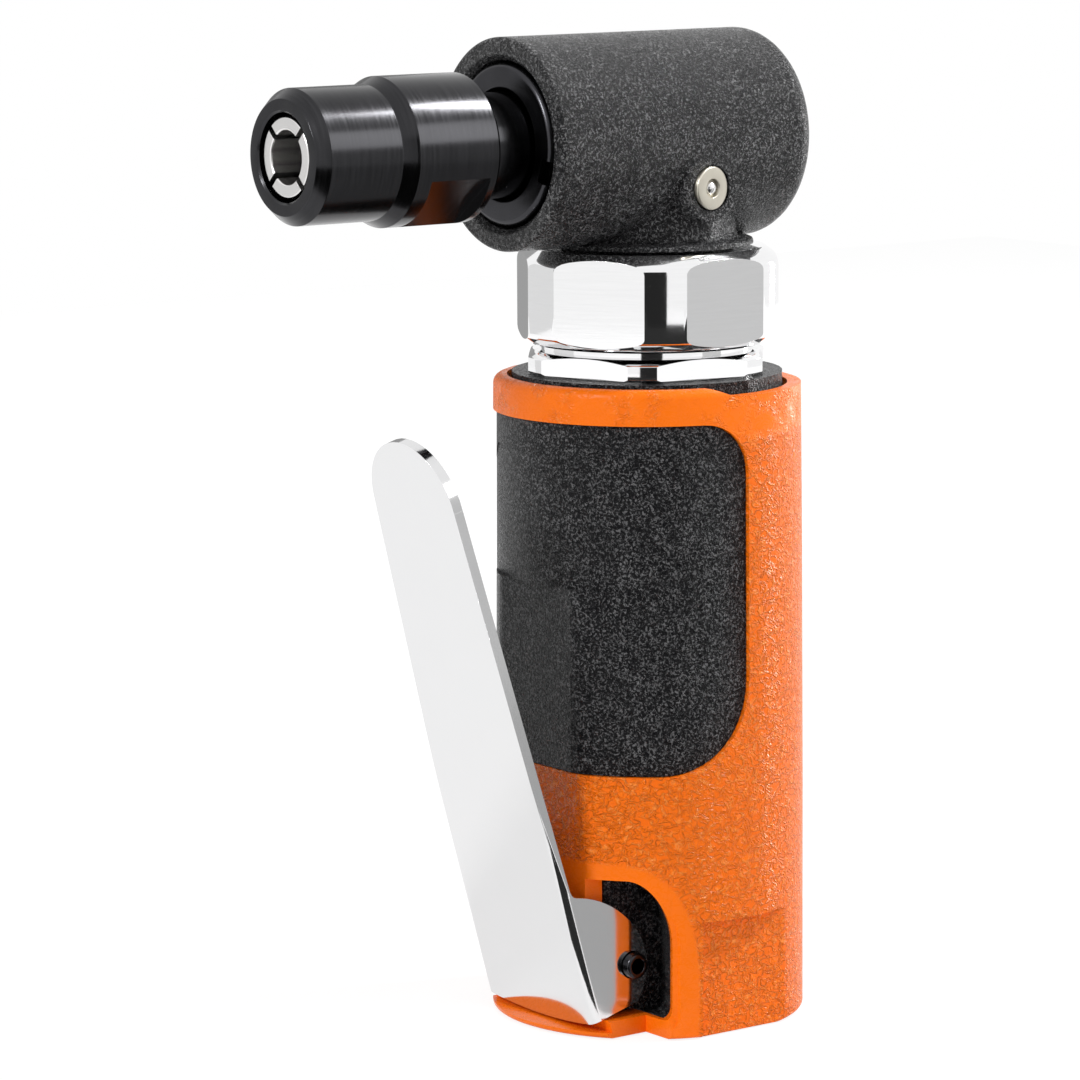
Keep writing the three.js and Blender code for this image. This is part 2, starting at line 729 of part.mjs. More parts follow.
function valveSpring(front, back) {
  const steps = springTurns * springStepsPerTurn;
  const points = [];
  for (let i = 0; i <= steps; i += 1) {
    const angle = 2 * Math.PI * i / springStepsPerTurn;
    const y = front + springWire + (back - front - 2 * springWire) * i / steps;
    points.push(new THREE.Vector3(springRadius * Math.cos(angle), y, valveHeight + springRadius * Math.sin(angle)));
  }
  const section = new THREE.Shape();
  section.absarc(0, 0, springWire, 0, 2 * Math.PI);
  const geometry = new THREE.ExtrudeGeometry(section, {
    steps, curveSegments: 2, bevelEnabled: false, extrudePath: new THREE.CatmullRomCurve3(points),
  });
  return piece('valve_spring', solid(geometry), looks.steel);
}

// The lever is drawn standing on its pivot: the plate is upright, the ears run back to the pin
function throttleLever() {
  const half = leverFootWidth / 2;
  const tip = leverTipWidth / 2;
  const plate = new THREE.Shape();
  plate.moveTo(-half + leverBend, -leverFootDrop);
  plate.quadraticCurveTo(0, -leverFootDrop - 2 * leverFootSag, half - leverBend, -leverFootDrop);
  plate.lineTo(half, -leverFootDrop + leverBend);
  plate.lineTo(half, earTop);
  plate.lineTo(tip, leverLength - tip);
  plate.absarc(0, leverLength - tip, tip, 0, Math.PI);
  plate.lineTo(-half, earTop);
  plate.lineTo(-half, -leverFootDrop + leverBend);
  plate.closePath();
  const sheet = new THREE.ExtrudeGeometry(plate, { depth: leverSheet, bevelEnabled: false, curveSegments: 12 });
  let body = solid(sheet.rotateX(Math.PI / 2).translate(0, -leverReach + leverSheet, 0));
  body = body.add(leverEars(half));
  body = body.intersect(bendRounding(half));
  body = body.subtract(rodAlongX(pinRadius + clearance / 2, -half - overrun, half + overrun, 0, 0));
  const mesh = piece('throttle_lever', body, looks.stainless);
  mesh.position.set(0, -pivotForward, pivotHeight);
  mesh.rotation.x = leverTilt;
  return mesh;
}

// Both ears: one D-shaped outline cut to a sheet on each side
function leverEars(half) {
  const bow = { heelShare: 0.6, backShare: 0.5, shoulderShare: 0.75, topShare: 0.35 };
  const outline = new THREE.Shape();
  outline.moveTo(-leverReach, -leverFootDrop);
  outline.lineTo(-leverSheet / 2, -leverFootDrop);
  outline.quadraticCurveTo(earBack * bow.heelShare, -leverFootDrop * bow.heelShare, earBack, 0);
  outline.bezierCurveTo(earBack * (1 + bow.backShare / 2), earTop * bow.backShare,
    -leverReach * bow.topShare / 2, earTop * bow.shoulderShare, -leverReach * bow.shoulderShare, earTop);
  outline.lineTo(-leverReach, earTop);
  outline.closePath();
  const both = solid(prismAlongX(outline, -half, half));
  const middle = block(-half + leverSheet, half - leverSheet, -leverReach - overrun, earBack * 2,
    -leverFootDrop - overrun, earTop + overrun);
  return both.subtract(middle);
}

// Rounds the folds between the plate and the ears
function bendRounding(half) {
  const outline = new THREE.Shape();
  const back = earBack + overrun;
  outline.moveTo(-half, back);
  outline.lineTo(-half, -leverReach + leverBend);
  outline.quadraticCurveTo(-half, -leverReach, -half + leverBend, -leverReach);
  outline.lineTo(half - leverBend, -leverReach);
  outline.quadraticCurveTo(half, -leverReach, half, -leverReach + leverBend);
  outline.lineTo(half, back);
  outline.closePath();
  const depth = leverLength + leverFootDrop + 2 * overrun;
  const geometry = new THREE.ExtrudeGeometry(outline, { depth, bevelEnabled: false, curveSegments: 5 });
  return solid(geometry.translate(0, 0, -leverFootDrop - overrun));
}

function leverPin() {
  const end = earInside + leverSheet + pinProud;
  const body = rodAlongX(pinRadius, -end, end, -pivotForward, pivotHeight, 20)
    .subtract(rodAlongX(pinBore, -end - overrun, end + overrun, -pivotForward, pivotHeight, 12));
  return piece('lever_pin', body, looks.darkSteel);
}

// A ball bearing on the handle's axis as three solids: outer ring, inner ring, balls in their cage
function bearingSolids(shaft, bottom, width, wall, track) {
  const top = bottom + width;
  const middle = (bottom + top) / 2;
  const groove = track / 2;
  const innerBore = shaft + clearance;
  const innerFace = innerBore + wall;
  const outerFace = innerFace + track + 2 * clearance;
  const outside = outerFace + wall;
  const inner = tube(innerBore, innerFace, bottom, top, smallFacets);
  const outer = tube(outerFace, outside, bottom, top, smallFacets);
  const centre = innerFace + clearance + track / 2;
  const cageWall = track / 6;
  const cageHalf = groove * cageShare;
  let balls = tube(centre - cageWall, centre + cageWall, middle - cageHalf, middle + cageHalf, ballCount);
  for (let i = 0; i < ballCount; i += 1) {
    const angle = 2 * Math.PI * i / ballCount;
    const ball = new THREE.IcosahedronGeometry(track / 2, 0);
    balls = balls.add(solid(ball.translate(centre * Math.cos(angle), centre * Math.sin(angle), middle)));
  }
  return { outer, inner, balls, outside };
}

function bearingOutside(shaft, wall, track) {
  return shaft + clearance + 2 * wall + track + 2 * clearance;
}

function bearing(name, shaft, bottom, width = bearingWidth, wall = ringWall, track = ballTrack, onHead = false) {
  const solids = bearingSolids(shaft, bottom, width, wall, track);
  return ['outer', 'inner', 'balls'].map((part) => {
    let body = solids[part];
    if (onHead) body = body.rotate([-90, 0, 0]).translate([0, 0, headAxis]);
    return piece(`${name}_${part}`, body, part === 'balls' ? looks.stainless : looks.steel);
  });
}

// Motor pieces
function motorPieces() {
  const rearTop = rearPlateBottom + endPlate;
  const frontTop = frontPlateBottom + endPlate;
  const rearSeat = bearingOutside(rearShaft, ringWall, ballTrack) + clearance;
  const frontSeat = bearingOutside(frontShaft, ringWall, ballTrack) + clearance;
  const frontBearingBottom = frontTop - bearingWidth;
  const rearPlate = turned([[rearShaft + clearance, rearTop], [rearShaft + clearance, rearTop - bearingWeb],
    [rearSeat, rearTop - bearingWeb], [rearSeat, rearPlateBottom], [motorRadius, rearPlateBottom],
    [motorRadius, rearTop]], midFacets)
    .subtract(rod(motorPassage, rearPlateBottom - overrun, rearTop + overrun, 12, 0, -rotorRadius))
    .subtract(dowelHole());
  const frontPlate = turned([[frontShaft + clearance, frontPlateBottom], [motorRadius, frontPlateBottom],
    [motorRadius, frontTop], [frontSeat, frontTop], [frontSeat, frontBearingBottom - clearance],
    [frontShaft + clearance, frontBearingBottom - clearance]], midFacets).subtract(dowelHole());
  return [piece('rear_end_plate', rearPlate, looks.steel),
    ...bearing('rear_bearing', rearShaft, rearPlateBottom),
    motorCylinder(),
    piece('motor_dowel', motorDowel(), looks.steel),
    ...rotorAndVanes(),
    piece('front_end_plate', frontPlate, looks.steel),
    ...bearing('front_bearing', frontShaft, frontBearingBottom)];
}

function dowelPlace() {
  return -(motorRadius + cylinderBore - cylinderOffset) / 2;
}

function dowelHole() {
  return rod(dowelRadius + clearance, dowelEnds()[0] - clearance, dowelEnds()[1] + clearance, 12,
    0, dowelPlace());
}

function dowelEnds() {
  const engage = endPlate / 2;
  return [cylinderBottom - engage, cylinderBottom + cylinderLength + engage];
}

function motorDowel() {
  const [bottom, top] = dowelEnds();
  return rod(dowelRadius, bottom, top, 12, 0, dowelPlace());
}

function motorCylinder() {
  const top = cylinderBottom + cylinderLength;
  let body = rod(motorRadius, cylinderBottom, top, wideFacets)
    .subtract(rod(cylinderBore, cylinderBottom - overrun, top + overrun, wideFacets, 0, cylinderOffset))
    .subtract(dowelHole());
  for (let i = 0; i < exhaustPorts; i += 1) {
    const z = cylinderBottom + cylinderLength * (i + 1) / (exhaustPorts + 1);
    body = body.subtract(rodAlongY(exhaustPort, 0, motorRadius + overrun, z, 0, 12));
  }
  return piece('motor_cylinder', body, looks.steel);
}

function rotorAndVanes() {
  const top = cylinderBottom + cylinderLength;
  const tangBottom = clampHexBottom;
  let rotor = rod(rotorRadius, cylinderBottom, top, midFacets)
    .add(rod(rearShaft, rearPlateBottom + clearance, cylinderBottom + clearance, smallFacets))
    .add(rod(frontShaft, top - clearance, tangBottom, smallFacets))
    .add(block(-tangSide / 2, tangSide / 2, -tangSide / 2, tangSide / 2, tangBottom - clearance,
      tangBottom + tangLength));
  const vanes = [];
  const slot = vaneThickness / 2 + clearance;
  const reach = rotorRadius + clearance / 3;
  for (let i = 0; i < vaneCount; i += 1) {
    const angle = 2 * Math.PI * i / vaneCount;
    rotor = rotor.subtract(turnedBlock(angle, -slot, slot, -rotorRadius - overrun, -vaneRoot + clearance,
      cylinderBottom - overrun, top + overrun).intersect(block(-baseRadius, baseRadius, -baseRadius, baseRadius,
      cylinderBottom, top)));
    const vane = turnedBlock(angle, -vaneThickness / 2, vaneThickness / 2, -reach, -vaneRoot,
      cylinderBottom, top);
    vanes.push(piece(`rotor_vane_${i + 1}`, vane, looks.vane));
  }
  return [piece('rotor', rotor, looks.steel), ...vanes];
}

// A hexagon made from round bar: flats cut on a chamfered cylinder
function hexBar(radius, flat, bottom, top, chamferBottom, chamferTop, turn) {
  const round = turned([[0, bottom], [radius - chamferBottom * 1.6, bottom], [radius, bottom + chamferBottom],
    [radius, top - chamferTop], [radius - chamferTop * 1.6, top], [0, top]]);
  let body = round;
  for (let i = 0; i < 6; i += 1) {
    body = body.subtract(turnedBlock(turn + i * Math.PI / 3, -radius, radius, -radius - overrun, -flat,
      bottom - overrun, top + overrun));
  }
  return body;
}

function clampSleeve() {
  const top = clampHexTop + clampTop;
  const body = unite([
    rod(motorRadius, clampBottom, clampHexBottom + clearance, wideFacets),
    hexBar(clampHexRadius, clampHexFlat, clampHexBottom, clampHexTop, 0, clampChamfer, clampHexTurn),
    rod(threadRadius, clampHexTop - clearance, top, wideFacets),
  ]).subtract(rod(clampBore, clampBottom - overrun, top + overrun, midFacets));
  return piece('motor_clamp_sleeve', body, looks.chrome);
}

function couplingNut() {
  const body = hexBar(couplingRadius, couplingFlat, couplingBottom, couplingTop,
    couplingChamfer, couplingChamfer, degrees(30))
    .subtract(rod(threadRadius + clearance, couplingBottom - overrun, couplingTop - couplingLip, wideFacets))
    .subtract(rod(neckRadius + clearance, couplingBottom, couplingTop + overrun, wideFacets));
  return piece('coupling_nut', body, looks.chrome);
}

// Heights on the head's spigot, inside the coupling nut
function spigotPlaces() {
  const ringTop = couplingTop - couplingLip - clearance;
  const ringBottom = ringTop - snapRing;
  const shoulder = clampHexTop + clampTop + clearance;
  const pilotBottom = shoulder - pilotLength;
  const sealBottom = pilotBottom + pilotSealWidth;
  return { ringTop, ringBottom, shoulder, pilotBottom, sealBottom };
}

function spigotRings() {
  const at = spigotPlaces();
  const groove = neckRadius - snapRingDepth;
  const ring = tube(groove + clearance, threadRadius - clearance / 3, at.ringBottom, at.ringTop, midFacets);
  const gap = turnedBlock(Math.PI, -snapRing, snapRing, -threadRadius - overrun, -groove + snapRing,
    at.ringBottom - overrun, at.ringTop + overrun);
  const seal = tube(pilotRadius - pilotSealWidth * 0.6, pilotRadius, at.sealBottom,
    at.sealBottom + pilotSealWidth, midFacets);
  return [piece('nut_snap_ring', ring.subtract(gap), looks.darkSteel), piece('head_seal', seal, looks.seal)];
}

// The angle head casting: a horizontal barrel on a round neck, with a spigot into the coupling nut
function angleHead() {
  const at = spigotPlaces();
  const arc = [1, 2, 3, 4].map((step) => {
    const angle = Math.PI / 2 * step / 4;
    return [headRadius - headBackEdge * (1 - Math.cos(angle)), headBack - headBackEdge * (1 - Math.sin(angle))];
  });
  const barrel = turnedOnHead([[0, -headFront], [headRadius - headFrontEdge, -headFront],
    [headRadius, -headFront + headFrontEdge], [headRadius, headBack - headBackEdge], ...arc, [0, headBack]],
  wideFacets);
  const groove = neckRadius - snapRingDepth;
  const spigot = turned([[0, at.pilotBottom], [pilotRadius, at.pilotBottom], [pilotRadius, at.sealBottom - clearance],
    [pilotRadius - pilotSealWidth, at.sealBottom - clearance],
    [pilotRadius - pilotSealWidth, at.sealBottom + pilotSealWidth + clearance],
    [pilotRadius, at.sealBottom + pilotSealWidth + clearance], [pilotRadius, at.shoulder],
    [neckRadius, at.shoulder], [neckRadius, at.ringBottom - clearance], [groove, at.ringBottom - clearance],
    [groove, at.ringTop + clearance], [neckRadius, at.ringTop + clearance], [neckRadius, flangeBottom],
    [flangeRadius, flangeBottom], [flangeRadius, flangeBottom + flangeHeight / 2],
    [neckRadius, flangeBottom + flangeHeight * 1.6], [neckRadius, headAxis - bossDrop], [0, headAxis - bossDrop]],
  midFacets);
  let body = barrel.add(spigot).add(greaseBoss());
  body = body.subtract(turnedOnHead(headCavity()));
  const bearingRoom = bearingOutside(frontShaft, ringWall, ballTrack) + clearance;
  body = body.subtract(rod(bearingRoom, at.pilotBottom - overrun, pinionBearingTop() + clearance, midFacets));
  body = body.subtract(rod(pinionShaftRadius, at.pilotBottom, headAxis, midFacets));
  body = body.subtract(greaseFittingRod(fittingRadius + clearance, fittingDepth + clearance, overrun));
  body = body.subtract(greaseFittingRod(fittingBall, fittingDepth + neckRadius / 2, 0));
  return piece('angle_head', body, looks.casting);
}

// The head's bore: mouth, bearing seat, gear room and the seat of the rear bearing
function headCavity() {
  const seat = retainerOuter + clearance;
  const rearSeat = bearingOutside(spindleTail, ringWall, ballTrack) + clearance;
  const rear = rearBearingFront;
  return [[0, -headFront - overrun], [seat + mouthChamfer + overrun, -headFront - overrun],
    [seat + mouthChamfer, -headFront], [seat, -headFront + mouthChamfer],
    [seat, frontBearingBack() + clearance], [gearChamberRadius, frontBearingBack() + clearance],
    [gearChamberRadius, rear - clearance * 2], [rearSeat, rear - clearance * 2],
    [rearSeat, rear + bearingWidth + clearance], [0, rear + bearingWidth + clearance]];
}

function pinionBearingTop() {
  return flangeBottom - clearance;
}

function retainerBack() {
  return -headFront + retainerInset + retainerThickness;
}

function frontBearingBack() {
  return retainerBack() + clearance + spindleBearingWidth;
}

function greaseBoss() {
  const geometry = new THREE.CylinderGeometry(bossRadius, bossRadius, bossReach, midFacets);
  geometry.rotateZ(Math.PI / 2).translate(bossReach / 2, 0, headAxis - bossDrop);
  return solid(geometry);
}

// A rod on the grease fitting's axis, reaching in to a depth and out by a reach
function greaseFittingRod(radius, depth, reach, facets = smallFacets) {
  const geometry = new THREE.CylinderGeometry(radius, radius, depth + reach, facets);
  geometry.rotateZ(Math.PI / 2).translate((reach - depth) / 2, 0, 0);
  return solid(geometry.rotateZ(fittingLean).translate(bossReach, 0, headAxis - bossDrop));
}

function greaseFitting() {
  const body = greaseFittingRod(fittingRadius, fittingDepth, fittingProud)
    .subtract(greaseFittingRod(fittingBall + clearance / 2, fittingDepth + overrun, overrun, 16));
  const ball = new THREE.SphereGeometry(fittingBall, 10, 8);
  ball.translate(-fittingBall / 2, 0, 0).rotateZ(fittingLean).translate(bossReach, 0, headAxis - bossDrop);
  return [piece('grease_fitting', body, looks.nickel), piece('grease_ball', solid(ball), looks.stainless)];
}

// One bevel gear on +Z with its apex at the origin: a toothed outline shrunk towards the apex
function bevelGear(teeth, pitch, apexDistance) {
  const coneDistance = Math.hypot(pitch, apexDistance);
  const toeShare = (coneDistance - gearFace) / coneDistance;
  const outline = [];
  const step = 2 * Math.PI / teeth;
  for (let i = 0; i < teeth; i += 1) {
    const middle = i * step;
    for (const [side, radius] of [[-toothShares.root, pitch - toothRoot], [-toothShares.tip, pitch + toothTip],
      [toothShares.tip, pitch + toothTip], [toothShares.root, pitch - toothRoot]]) {
      const angle = middle + side * step;
      outline.push([radius * Math.cos(angle), radius * Math.sin(angle)]);
    }
  }
  const positions = [];
  const index = [];
  const count = outline.length;
  for (const share of [1, toeShare]) {
    for (const [x, y] of outline) positions.push(x * share, y * share, -apexDistance * share);
  }
  positions.push(0, 0, -apexDistance, 0, 0, -apexDistance * toeShare);
  for (let i = 0; i < count; i += 1) {
    const next = (i + 1) % count;
    index.push(i, next, count + next, i, count + next, count + i);
    index.push(next, i, 2 * count, count + i, count + next, 2 * count + 1);
  }
  const geometry = new THREE.BufferGeometry();
  geometry.setAttribute('position', new THREE.Float32BufferAttribute(positions, 3));
  geometry.setIndex(index);
  return geometry;
}

function pinionPieces() {
  const heel = headAxis - gearPitch;
  const gear = bevelGear(pinionTeeth, pinionPitch, gearPitch);
  gear.rotateZ(-Math.PI / 2).translate(0, 0, headAxis);
  const bearingBottom = pinionBearingTop() - bearingWidth;
  const clipTop = bearingBottom - clearance;
  const socketBottom = clampHexBottom + clearance;
  const socketTop = socketBottom + tangLength + clearance;
  const hollow = tangSide / 2 + clearance;
  const body = unite([
    solid(gear),
    rod(pinionHub, pinionBearingTop() + clearance, heel + clearance, smallFacets),
    rod(frontShaft, socketTop, heel, smallFacets),
    rod(pinionSocket, socketBottom, socketTop + ringWall, smallFacets),
  ]).subtract(block(-hollow, hollow, -hollow, hollow, socketBottom - overrun, socketTop));
  const clipOuter = bearingOutside(frontShaft, ringWall, ballTrack);
  const clip = tube(clipOuter - snapRingDepth * 1.5, clipOuter, clipTop - pinionBearingSeat / 2, clipTop, midFacets);
  return [piece('pinion', body, looks.steel), ...bearing('pinion_bearing', frontShaft, bearingBottom),
    piece('pinion_bearing_nut', clip, looks.darkSteel)];
}

function drivenGear() {
  const gear = bevelGear(gearTeeth, gearPitch, pinionPitch);
  gear.rotateX(-Math.PI / 2);
  gear.rotateY(Math.PI / 2 + Math.PI / gearTeeth).translate(0, 0, headAxis);
  const hubBack = -pinionPitch;
  const hubFront = frontBearingBack() + clearance;
  const body = solid(gear).add(rodAlongY(gearHub, hubFront, hubBack + clearance, headAxis, 0, midFacets))
    .subtract(rodAlongY(spindleMiddle + clearance, -headFront, headBack, headAxis, 0, smallFacets));
  return piece('driven_gear', body, looks.steel);
}

function spindlePieces() {
  const front = retainerBack() + clearance;
  const back = frontBearingBack();
  const tailEnd = rearBearingFront + bearingWidth;
  const noseEnd = -nutBack - noseLength;
  const taperEnd = noseEnd + noseLength - nutEdge * 4;
  const relief = colletBore + nutEdge;
  const body = turnedOnHead([[0, tailEnd], [0, taperEnd + colletRecess * 8], [relief, taperEnd + colletRecess * 8],
    [relief, taperEnd], [taperRoot, taperEnd], [taperMouth, noseEnd], [noseRadius - nutEdge, noseEnd],
    [noseRadius, noseEnd + nutEdge], [noseRadius, -nutBack + nutEdge], [spindleCollar, -nutBack + nutEdge],
    [spindleCollar, front - clearance], [spindleJournal, front - clearance], [spindleJournal, back],
    [spindleMiddle, back], [spindleMiddle, rearBearingFront - clearance * 2],
    [spindleTail, rearBearingFront - clearance * 2], [spindleTail, tailEnd]]);
  return [piece('spindle', body, looks.darkSteel),
    ...bearing('spindle_bearing', spindleJournal, front, spindleBearingWidth, spindleRingWall,
      spindleTrack, true),
    ...bearing('spindle_tail_bearing', spindleTail, rearBearingFront, bearingWidth, ringWall,
      ballTrack, true)];
}

function bearingRetainer() {
  const front = -headFront + retainerInset;
  const back = front + retainerThickness;
  let body = turnedOnHead([[retainerInner, front], [retainerOuter - retainerChamfer, front],
    [retainerOuter, front + retainerChamfer], [retainerOuter, back], [retainerInner, back]]);
  for (const turn of [retainerSlotTurn, retainerSlotTurn + Math.PI]) {
    const slot = new THREE.BoxGeometry(retainerSlotDepth * 2, retainerThickness * 4, retainerSlot);
    slot.translate(retainerOuter, front, 0).rotateY(-turn).translate(0, 0, headAxis);
    body = body.subtract(solid(slot));
  }
  return piece('bearing_retainer', body, looks.darkSteel);
}

function collet() {
  const front = -nutFront + colletRecess;
  const cone = front + colletConeLength;
  const grooveBack = cone + colletGrooveLength;
  const back = front + colletLength;
  const taper = taperMouth - clearance;
  let body = turnedOnHead([[colletBore, front], [colletFront, front], [colletShoulder, cone],
    [colletGroove, cone + nutEdge], [colletGroove, grooveBack], [taper, grooveBack + nutEdge],
    [taperRoot - clearance, back], [colletBore, back]]);
  for (const turn of [degrees(45), degrees(-45)]) {
    const slot = new THREE.BoxGeometry(nutFrontRadius * 2, colletLength * 1.5, colletSlot);
    slot.translate(0, front, 0).rotateY(turn).translate(0, 0, headAxis);
    body = body.subtract(solid(slot));
  }
  return piece('collet', body, looks.steel);
}

function colletNut() {
  const bore = noseRadius + clearance;
  const cone = -nutFront + colletRecess + colletConeLength;
  const body = turnedOnHead([[nutMouth, -nutFront], [nutFace, -nutFront], [nutFrontRadius, -nutFront + nutBevel],
    [nutFrontRadius, -nutStepFront], [nutBackRadius, -nutStepFront + nutStepLength],
    [nutBackRadius, -nutBack - nutEdge], [nutBackRadius - nutEdge, -nutBack], [bore, -nutBack],
    [bore, cone + nutEdge], [colletShoulder + clearance, cone]], midFacets + 4);
  let cut = body;
  for (const turn of [nutFlatTurn, nutFlatTurn + Math.PI]) {
    const flat = new THREE.BoxGeometry(overrun, nutFlatFront - nutFlatBack, nutBackRadius * 2);
    flat.translate(nutFlat + overrun / 2, -(nutFlatFront + nutFlatBack) / 2, 0);
    flat.rotateY(-turn).translate(0, 0, headAxis);
    cut = cut.subtract(solid(flat));
  }
  return piece('collet_nut', cut, looks.darkSteel);
}

// The whole tool, set so that its origin lies under the middle of its box
const tool = new THREE.Group();
tool.name = 'right_angle_die_grinder';
const pieces = [
  orangeSleeve(), gripPanel(), motorHousing(), ...exhaustPieces(), ...inletPieces(),
  ...valvePieces(), throttleLever(), leverPin(), ...motorPieces(), clampSleeve(), couplingNut(),
  ...spigotRings(), angleHead(), ...greaseFitting(), ...pinionPieces(), drivenGear(),
  ...spindlePieces(), bearingRetainer(), collet(), colletNut(),
];
tool.add(...pieces);
tool.position.y = (nutFront - baseRadius) / 2;

const part = new THREE.Group();
part.add(tool);
export default part;
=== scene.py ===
"""The visible model of a right angle air die grinder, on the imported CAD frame."""
import math

import bpy
import bmesh
from mathutils import Matrix, Vector, noise


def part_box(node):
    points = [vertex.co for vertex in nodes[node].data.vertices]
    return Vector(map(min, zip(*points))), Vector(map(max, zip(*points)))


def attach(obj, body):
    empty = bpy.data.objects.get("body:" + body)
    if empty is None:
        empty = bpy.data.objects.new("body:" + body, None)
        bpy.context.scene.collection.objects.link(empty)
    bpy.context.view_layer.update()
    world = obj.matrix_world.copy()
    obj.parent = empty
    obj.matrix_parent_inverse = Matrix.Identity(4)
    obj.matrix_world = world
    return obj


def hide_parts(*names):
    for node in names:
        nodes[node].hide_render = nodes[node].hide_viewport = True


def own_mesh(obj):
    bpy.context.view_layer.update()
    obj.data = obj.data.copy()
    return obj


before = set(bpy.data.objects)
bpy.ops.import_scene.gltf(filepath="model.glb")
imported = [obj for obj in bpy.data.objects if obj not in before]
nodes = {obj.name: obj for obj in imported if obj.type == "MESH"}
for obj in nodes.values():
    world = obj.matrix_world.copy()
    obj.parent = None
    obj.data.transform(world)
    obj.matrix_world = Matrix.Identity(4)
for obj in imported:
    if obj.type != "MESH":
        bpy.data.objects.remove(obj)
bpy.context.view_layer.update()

# Lengths are in millimetres from the handle's axis until a mesh is finished; SHIFT leads to the frame's Y
SHIFT = 17.125

# The orange sleeve tapers toward its top, and its front is flat from the foot ledge to FRONT_TOP
BASE_RADIUS = 19.6
TOP_RADIUS = 19.1
SLEEVE_HEIGHT = 80.2
BORE = 17.4
BASE_THICK = 2.15
LEDGE = 0.7
FRONT_FLAT, FRONT_TOP = 17.35, 55.5

# The grip panel goes round the front by PANEL_HALF to each side, and lies a little below the sleeve's skin
PANEL_HALF = math.radians(92)
PANEL_LOW, PANEL_HIGH = 32.8, 75.9
LOW_CORNER, HIGH_CORNER = 11.5, 6.3
PANEL_SUNK = 0.42

# The lever's pin, its lean at rest, its outer face in front of the pin, and the thickness of its sheet
PIVOT = (0.0, -11.05, 8.55)
TILT = math.radians(15.94)
LEVER_REACH = 7.6
SHEET = 1.3

# Heights of the head's axis and of the grease fitting's axis
HEAD = 109.5
FITTING = HEAD - 5.6

# How far cutters go past the handle: to the sides, to the front or back, and round it
WIDE, FAR, OUTSIDE = 25, 30, 24.0

# A length that counts as nothing
TINY = 1e-6


# Outlines

def fillet(points, steps=4):
    """Rounds the corners of a closed outline given as (u, v, radius); two fillets never meet on a side."""
    most = 0.49
    out = []
    count = len(points)
    for i, (u, v, radius) in enumerate(points):
        here = Vector((u, v))
        before = Vector(points[i - 1][:2]) - here
        after = Vector(points[(i + 1) % count][:2]) - here
        if radius <= 0 or before.length < TINY or after.length < TINY:
            out.append((u, v))
            continue
        angle = before.angle(after)
        if angle > math.pi - 0.01:
            out.append((u, v))
            continue
        reach = min(radius / math.tan(angle / 2), before.length * most, after.length * most)
        radius = reach * math.tan(angle / 2)
        before.normalize()
        after.normalize()
        centre = here + (before + after).normalized() * (radius / math.sin(angle / 2))
        a = here + before * reach - centre
        b = here + after * reach - centre
        turn = math.atan2(a.x * b.y - a.y * b.x, a.dot(b))
        for k in range(steps + 1):
            t = turn * k / steps
            out.append((centre.x + a.x * math.cos(t) - a.y * math.sin(t),
                        centre.y + a.x * math.sin(t) + a.y * math.cos(t)))
    return out


def curve_on(outline, lead, trail, end, steps):
    """Adds a cubic curve to an outline, from its last point to an end."""
    start = outline[-1]
    for k in range(1, steps + 1):
        t = k / steps
        rest = 1 - t
        outline.append(tuple(a * rest ** 3 + 3 * b * t * rest ** 2 + 3 * c * t * t * rest + d * t ** 3
                             for a, b, c, d in zip(start, lead, trail, end)))


def round_front(line, angle):
    """Points (radius, height) turned from the front about the handle's axis."""
    return [(r * math.sin(angle), -r * math.cos(angle), h) for r, h in line]


# Ways to place an outline's u and v and the sweep's w: the sweep runs along the axis in the name
def along_x(u, v, w):
    return (w, u, v)


def along_y(u, v, w):
    return (u, w, v)


def along_z(u, v, w):
    return (u, v, w)


# Meshes

def new_object(name, verts, faces):
    mesh = bpy.data.meshes.new(name)
    mesh.from_pydata([tuple(v) for v in verts], [], faces)
    mesh.validate()
    mesh.update()
    obj = bpy.data.objects.new(name, mesh)
    bpy.context.scene.collection.objects.link(obj)
    return obj


def face_out(obj):
    """Merges points that coincide and turns all faces outward."""
    work = bmesh.new()
    work.from_mesh(obj.data)
    bmesh.ops.remove_doubles(work, verts=work.verts, dist=1e-5)
    bmesh.ops.recalc_face_normals(work, faces=work.faces)
    work.to_mesh(obj.data)
    work.free()


def lathe(name, profile, segments=128, axis="z", steps=4):
    """A closed outline of (radius, height, fillet) turned about the handle's or the head's axis."""
    outline = fillet([p if len(p) == 3 else (p[0], p[1], 0) for p in profile], steps)
    verts = []
    rings = []
    for radius, height in outline:
        if radius < TINY:
            rings.append([len(verts)])
            verts.append((0.0, 0.0, height))
            continue
        rings.append(list(range(len(verts), len(verts) + segments)))
        for k in range(segments):
            t = 2 * math.pi * k / segments
            verts.append((radius * math.sin(t), -radius * math.cos(t), height))
    faces = []
    for i in range(len(rings)):
        a, b = rings[i], rings[(i + 1) % len(rings)]
        if len(a) == 1 and len(b) == 1:
            continue
        for k in range(segments):
            n = (k + 1) % segments
            if len(a) == 1:
                faces.append((a[0], b[n], b[k]))
            elif len(b) == 1:
                faces.append((a[k], a[n], b[0]))
            else:
                faces.append((a[k], a[n], b[n], b[k]))
    if axis == "y":
        verts = [(x, z, HEAD - y) for x, y, z in verts]
    obj = new_object(name, verts, faces)
    face_out(obj)
    return obj


def solid(name, rings):
    """A solid through rings that have the same number of points, with a cap at each end."""
    count = len(rings[0])
    verts = [point for ring in rings for point in ring]
    faces = [tuple(range(count))[::-1], tuple(range(len(verts) - count, len(verts)))]
    for first in range(0, len(verts) - count, count):
        for k in range(count):
            n = (k + 1) % count
            faces.append((first + k, first + n, first + count + n, first + count + k))
    obj = new_object(name, verts, faces)
    face_out(obj)
    return obj


def prism(name, outline, low, high, place):
    """A closed outline swept from low to high; place turns (u, v, w) into a point."""
    return solid(name, [[place(u, v, w) for u, v in outline] for w in (low, high)])


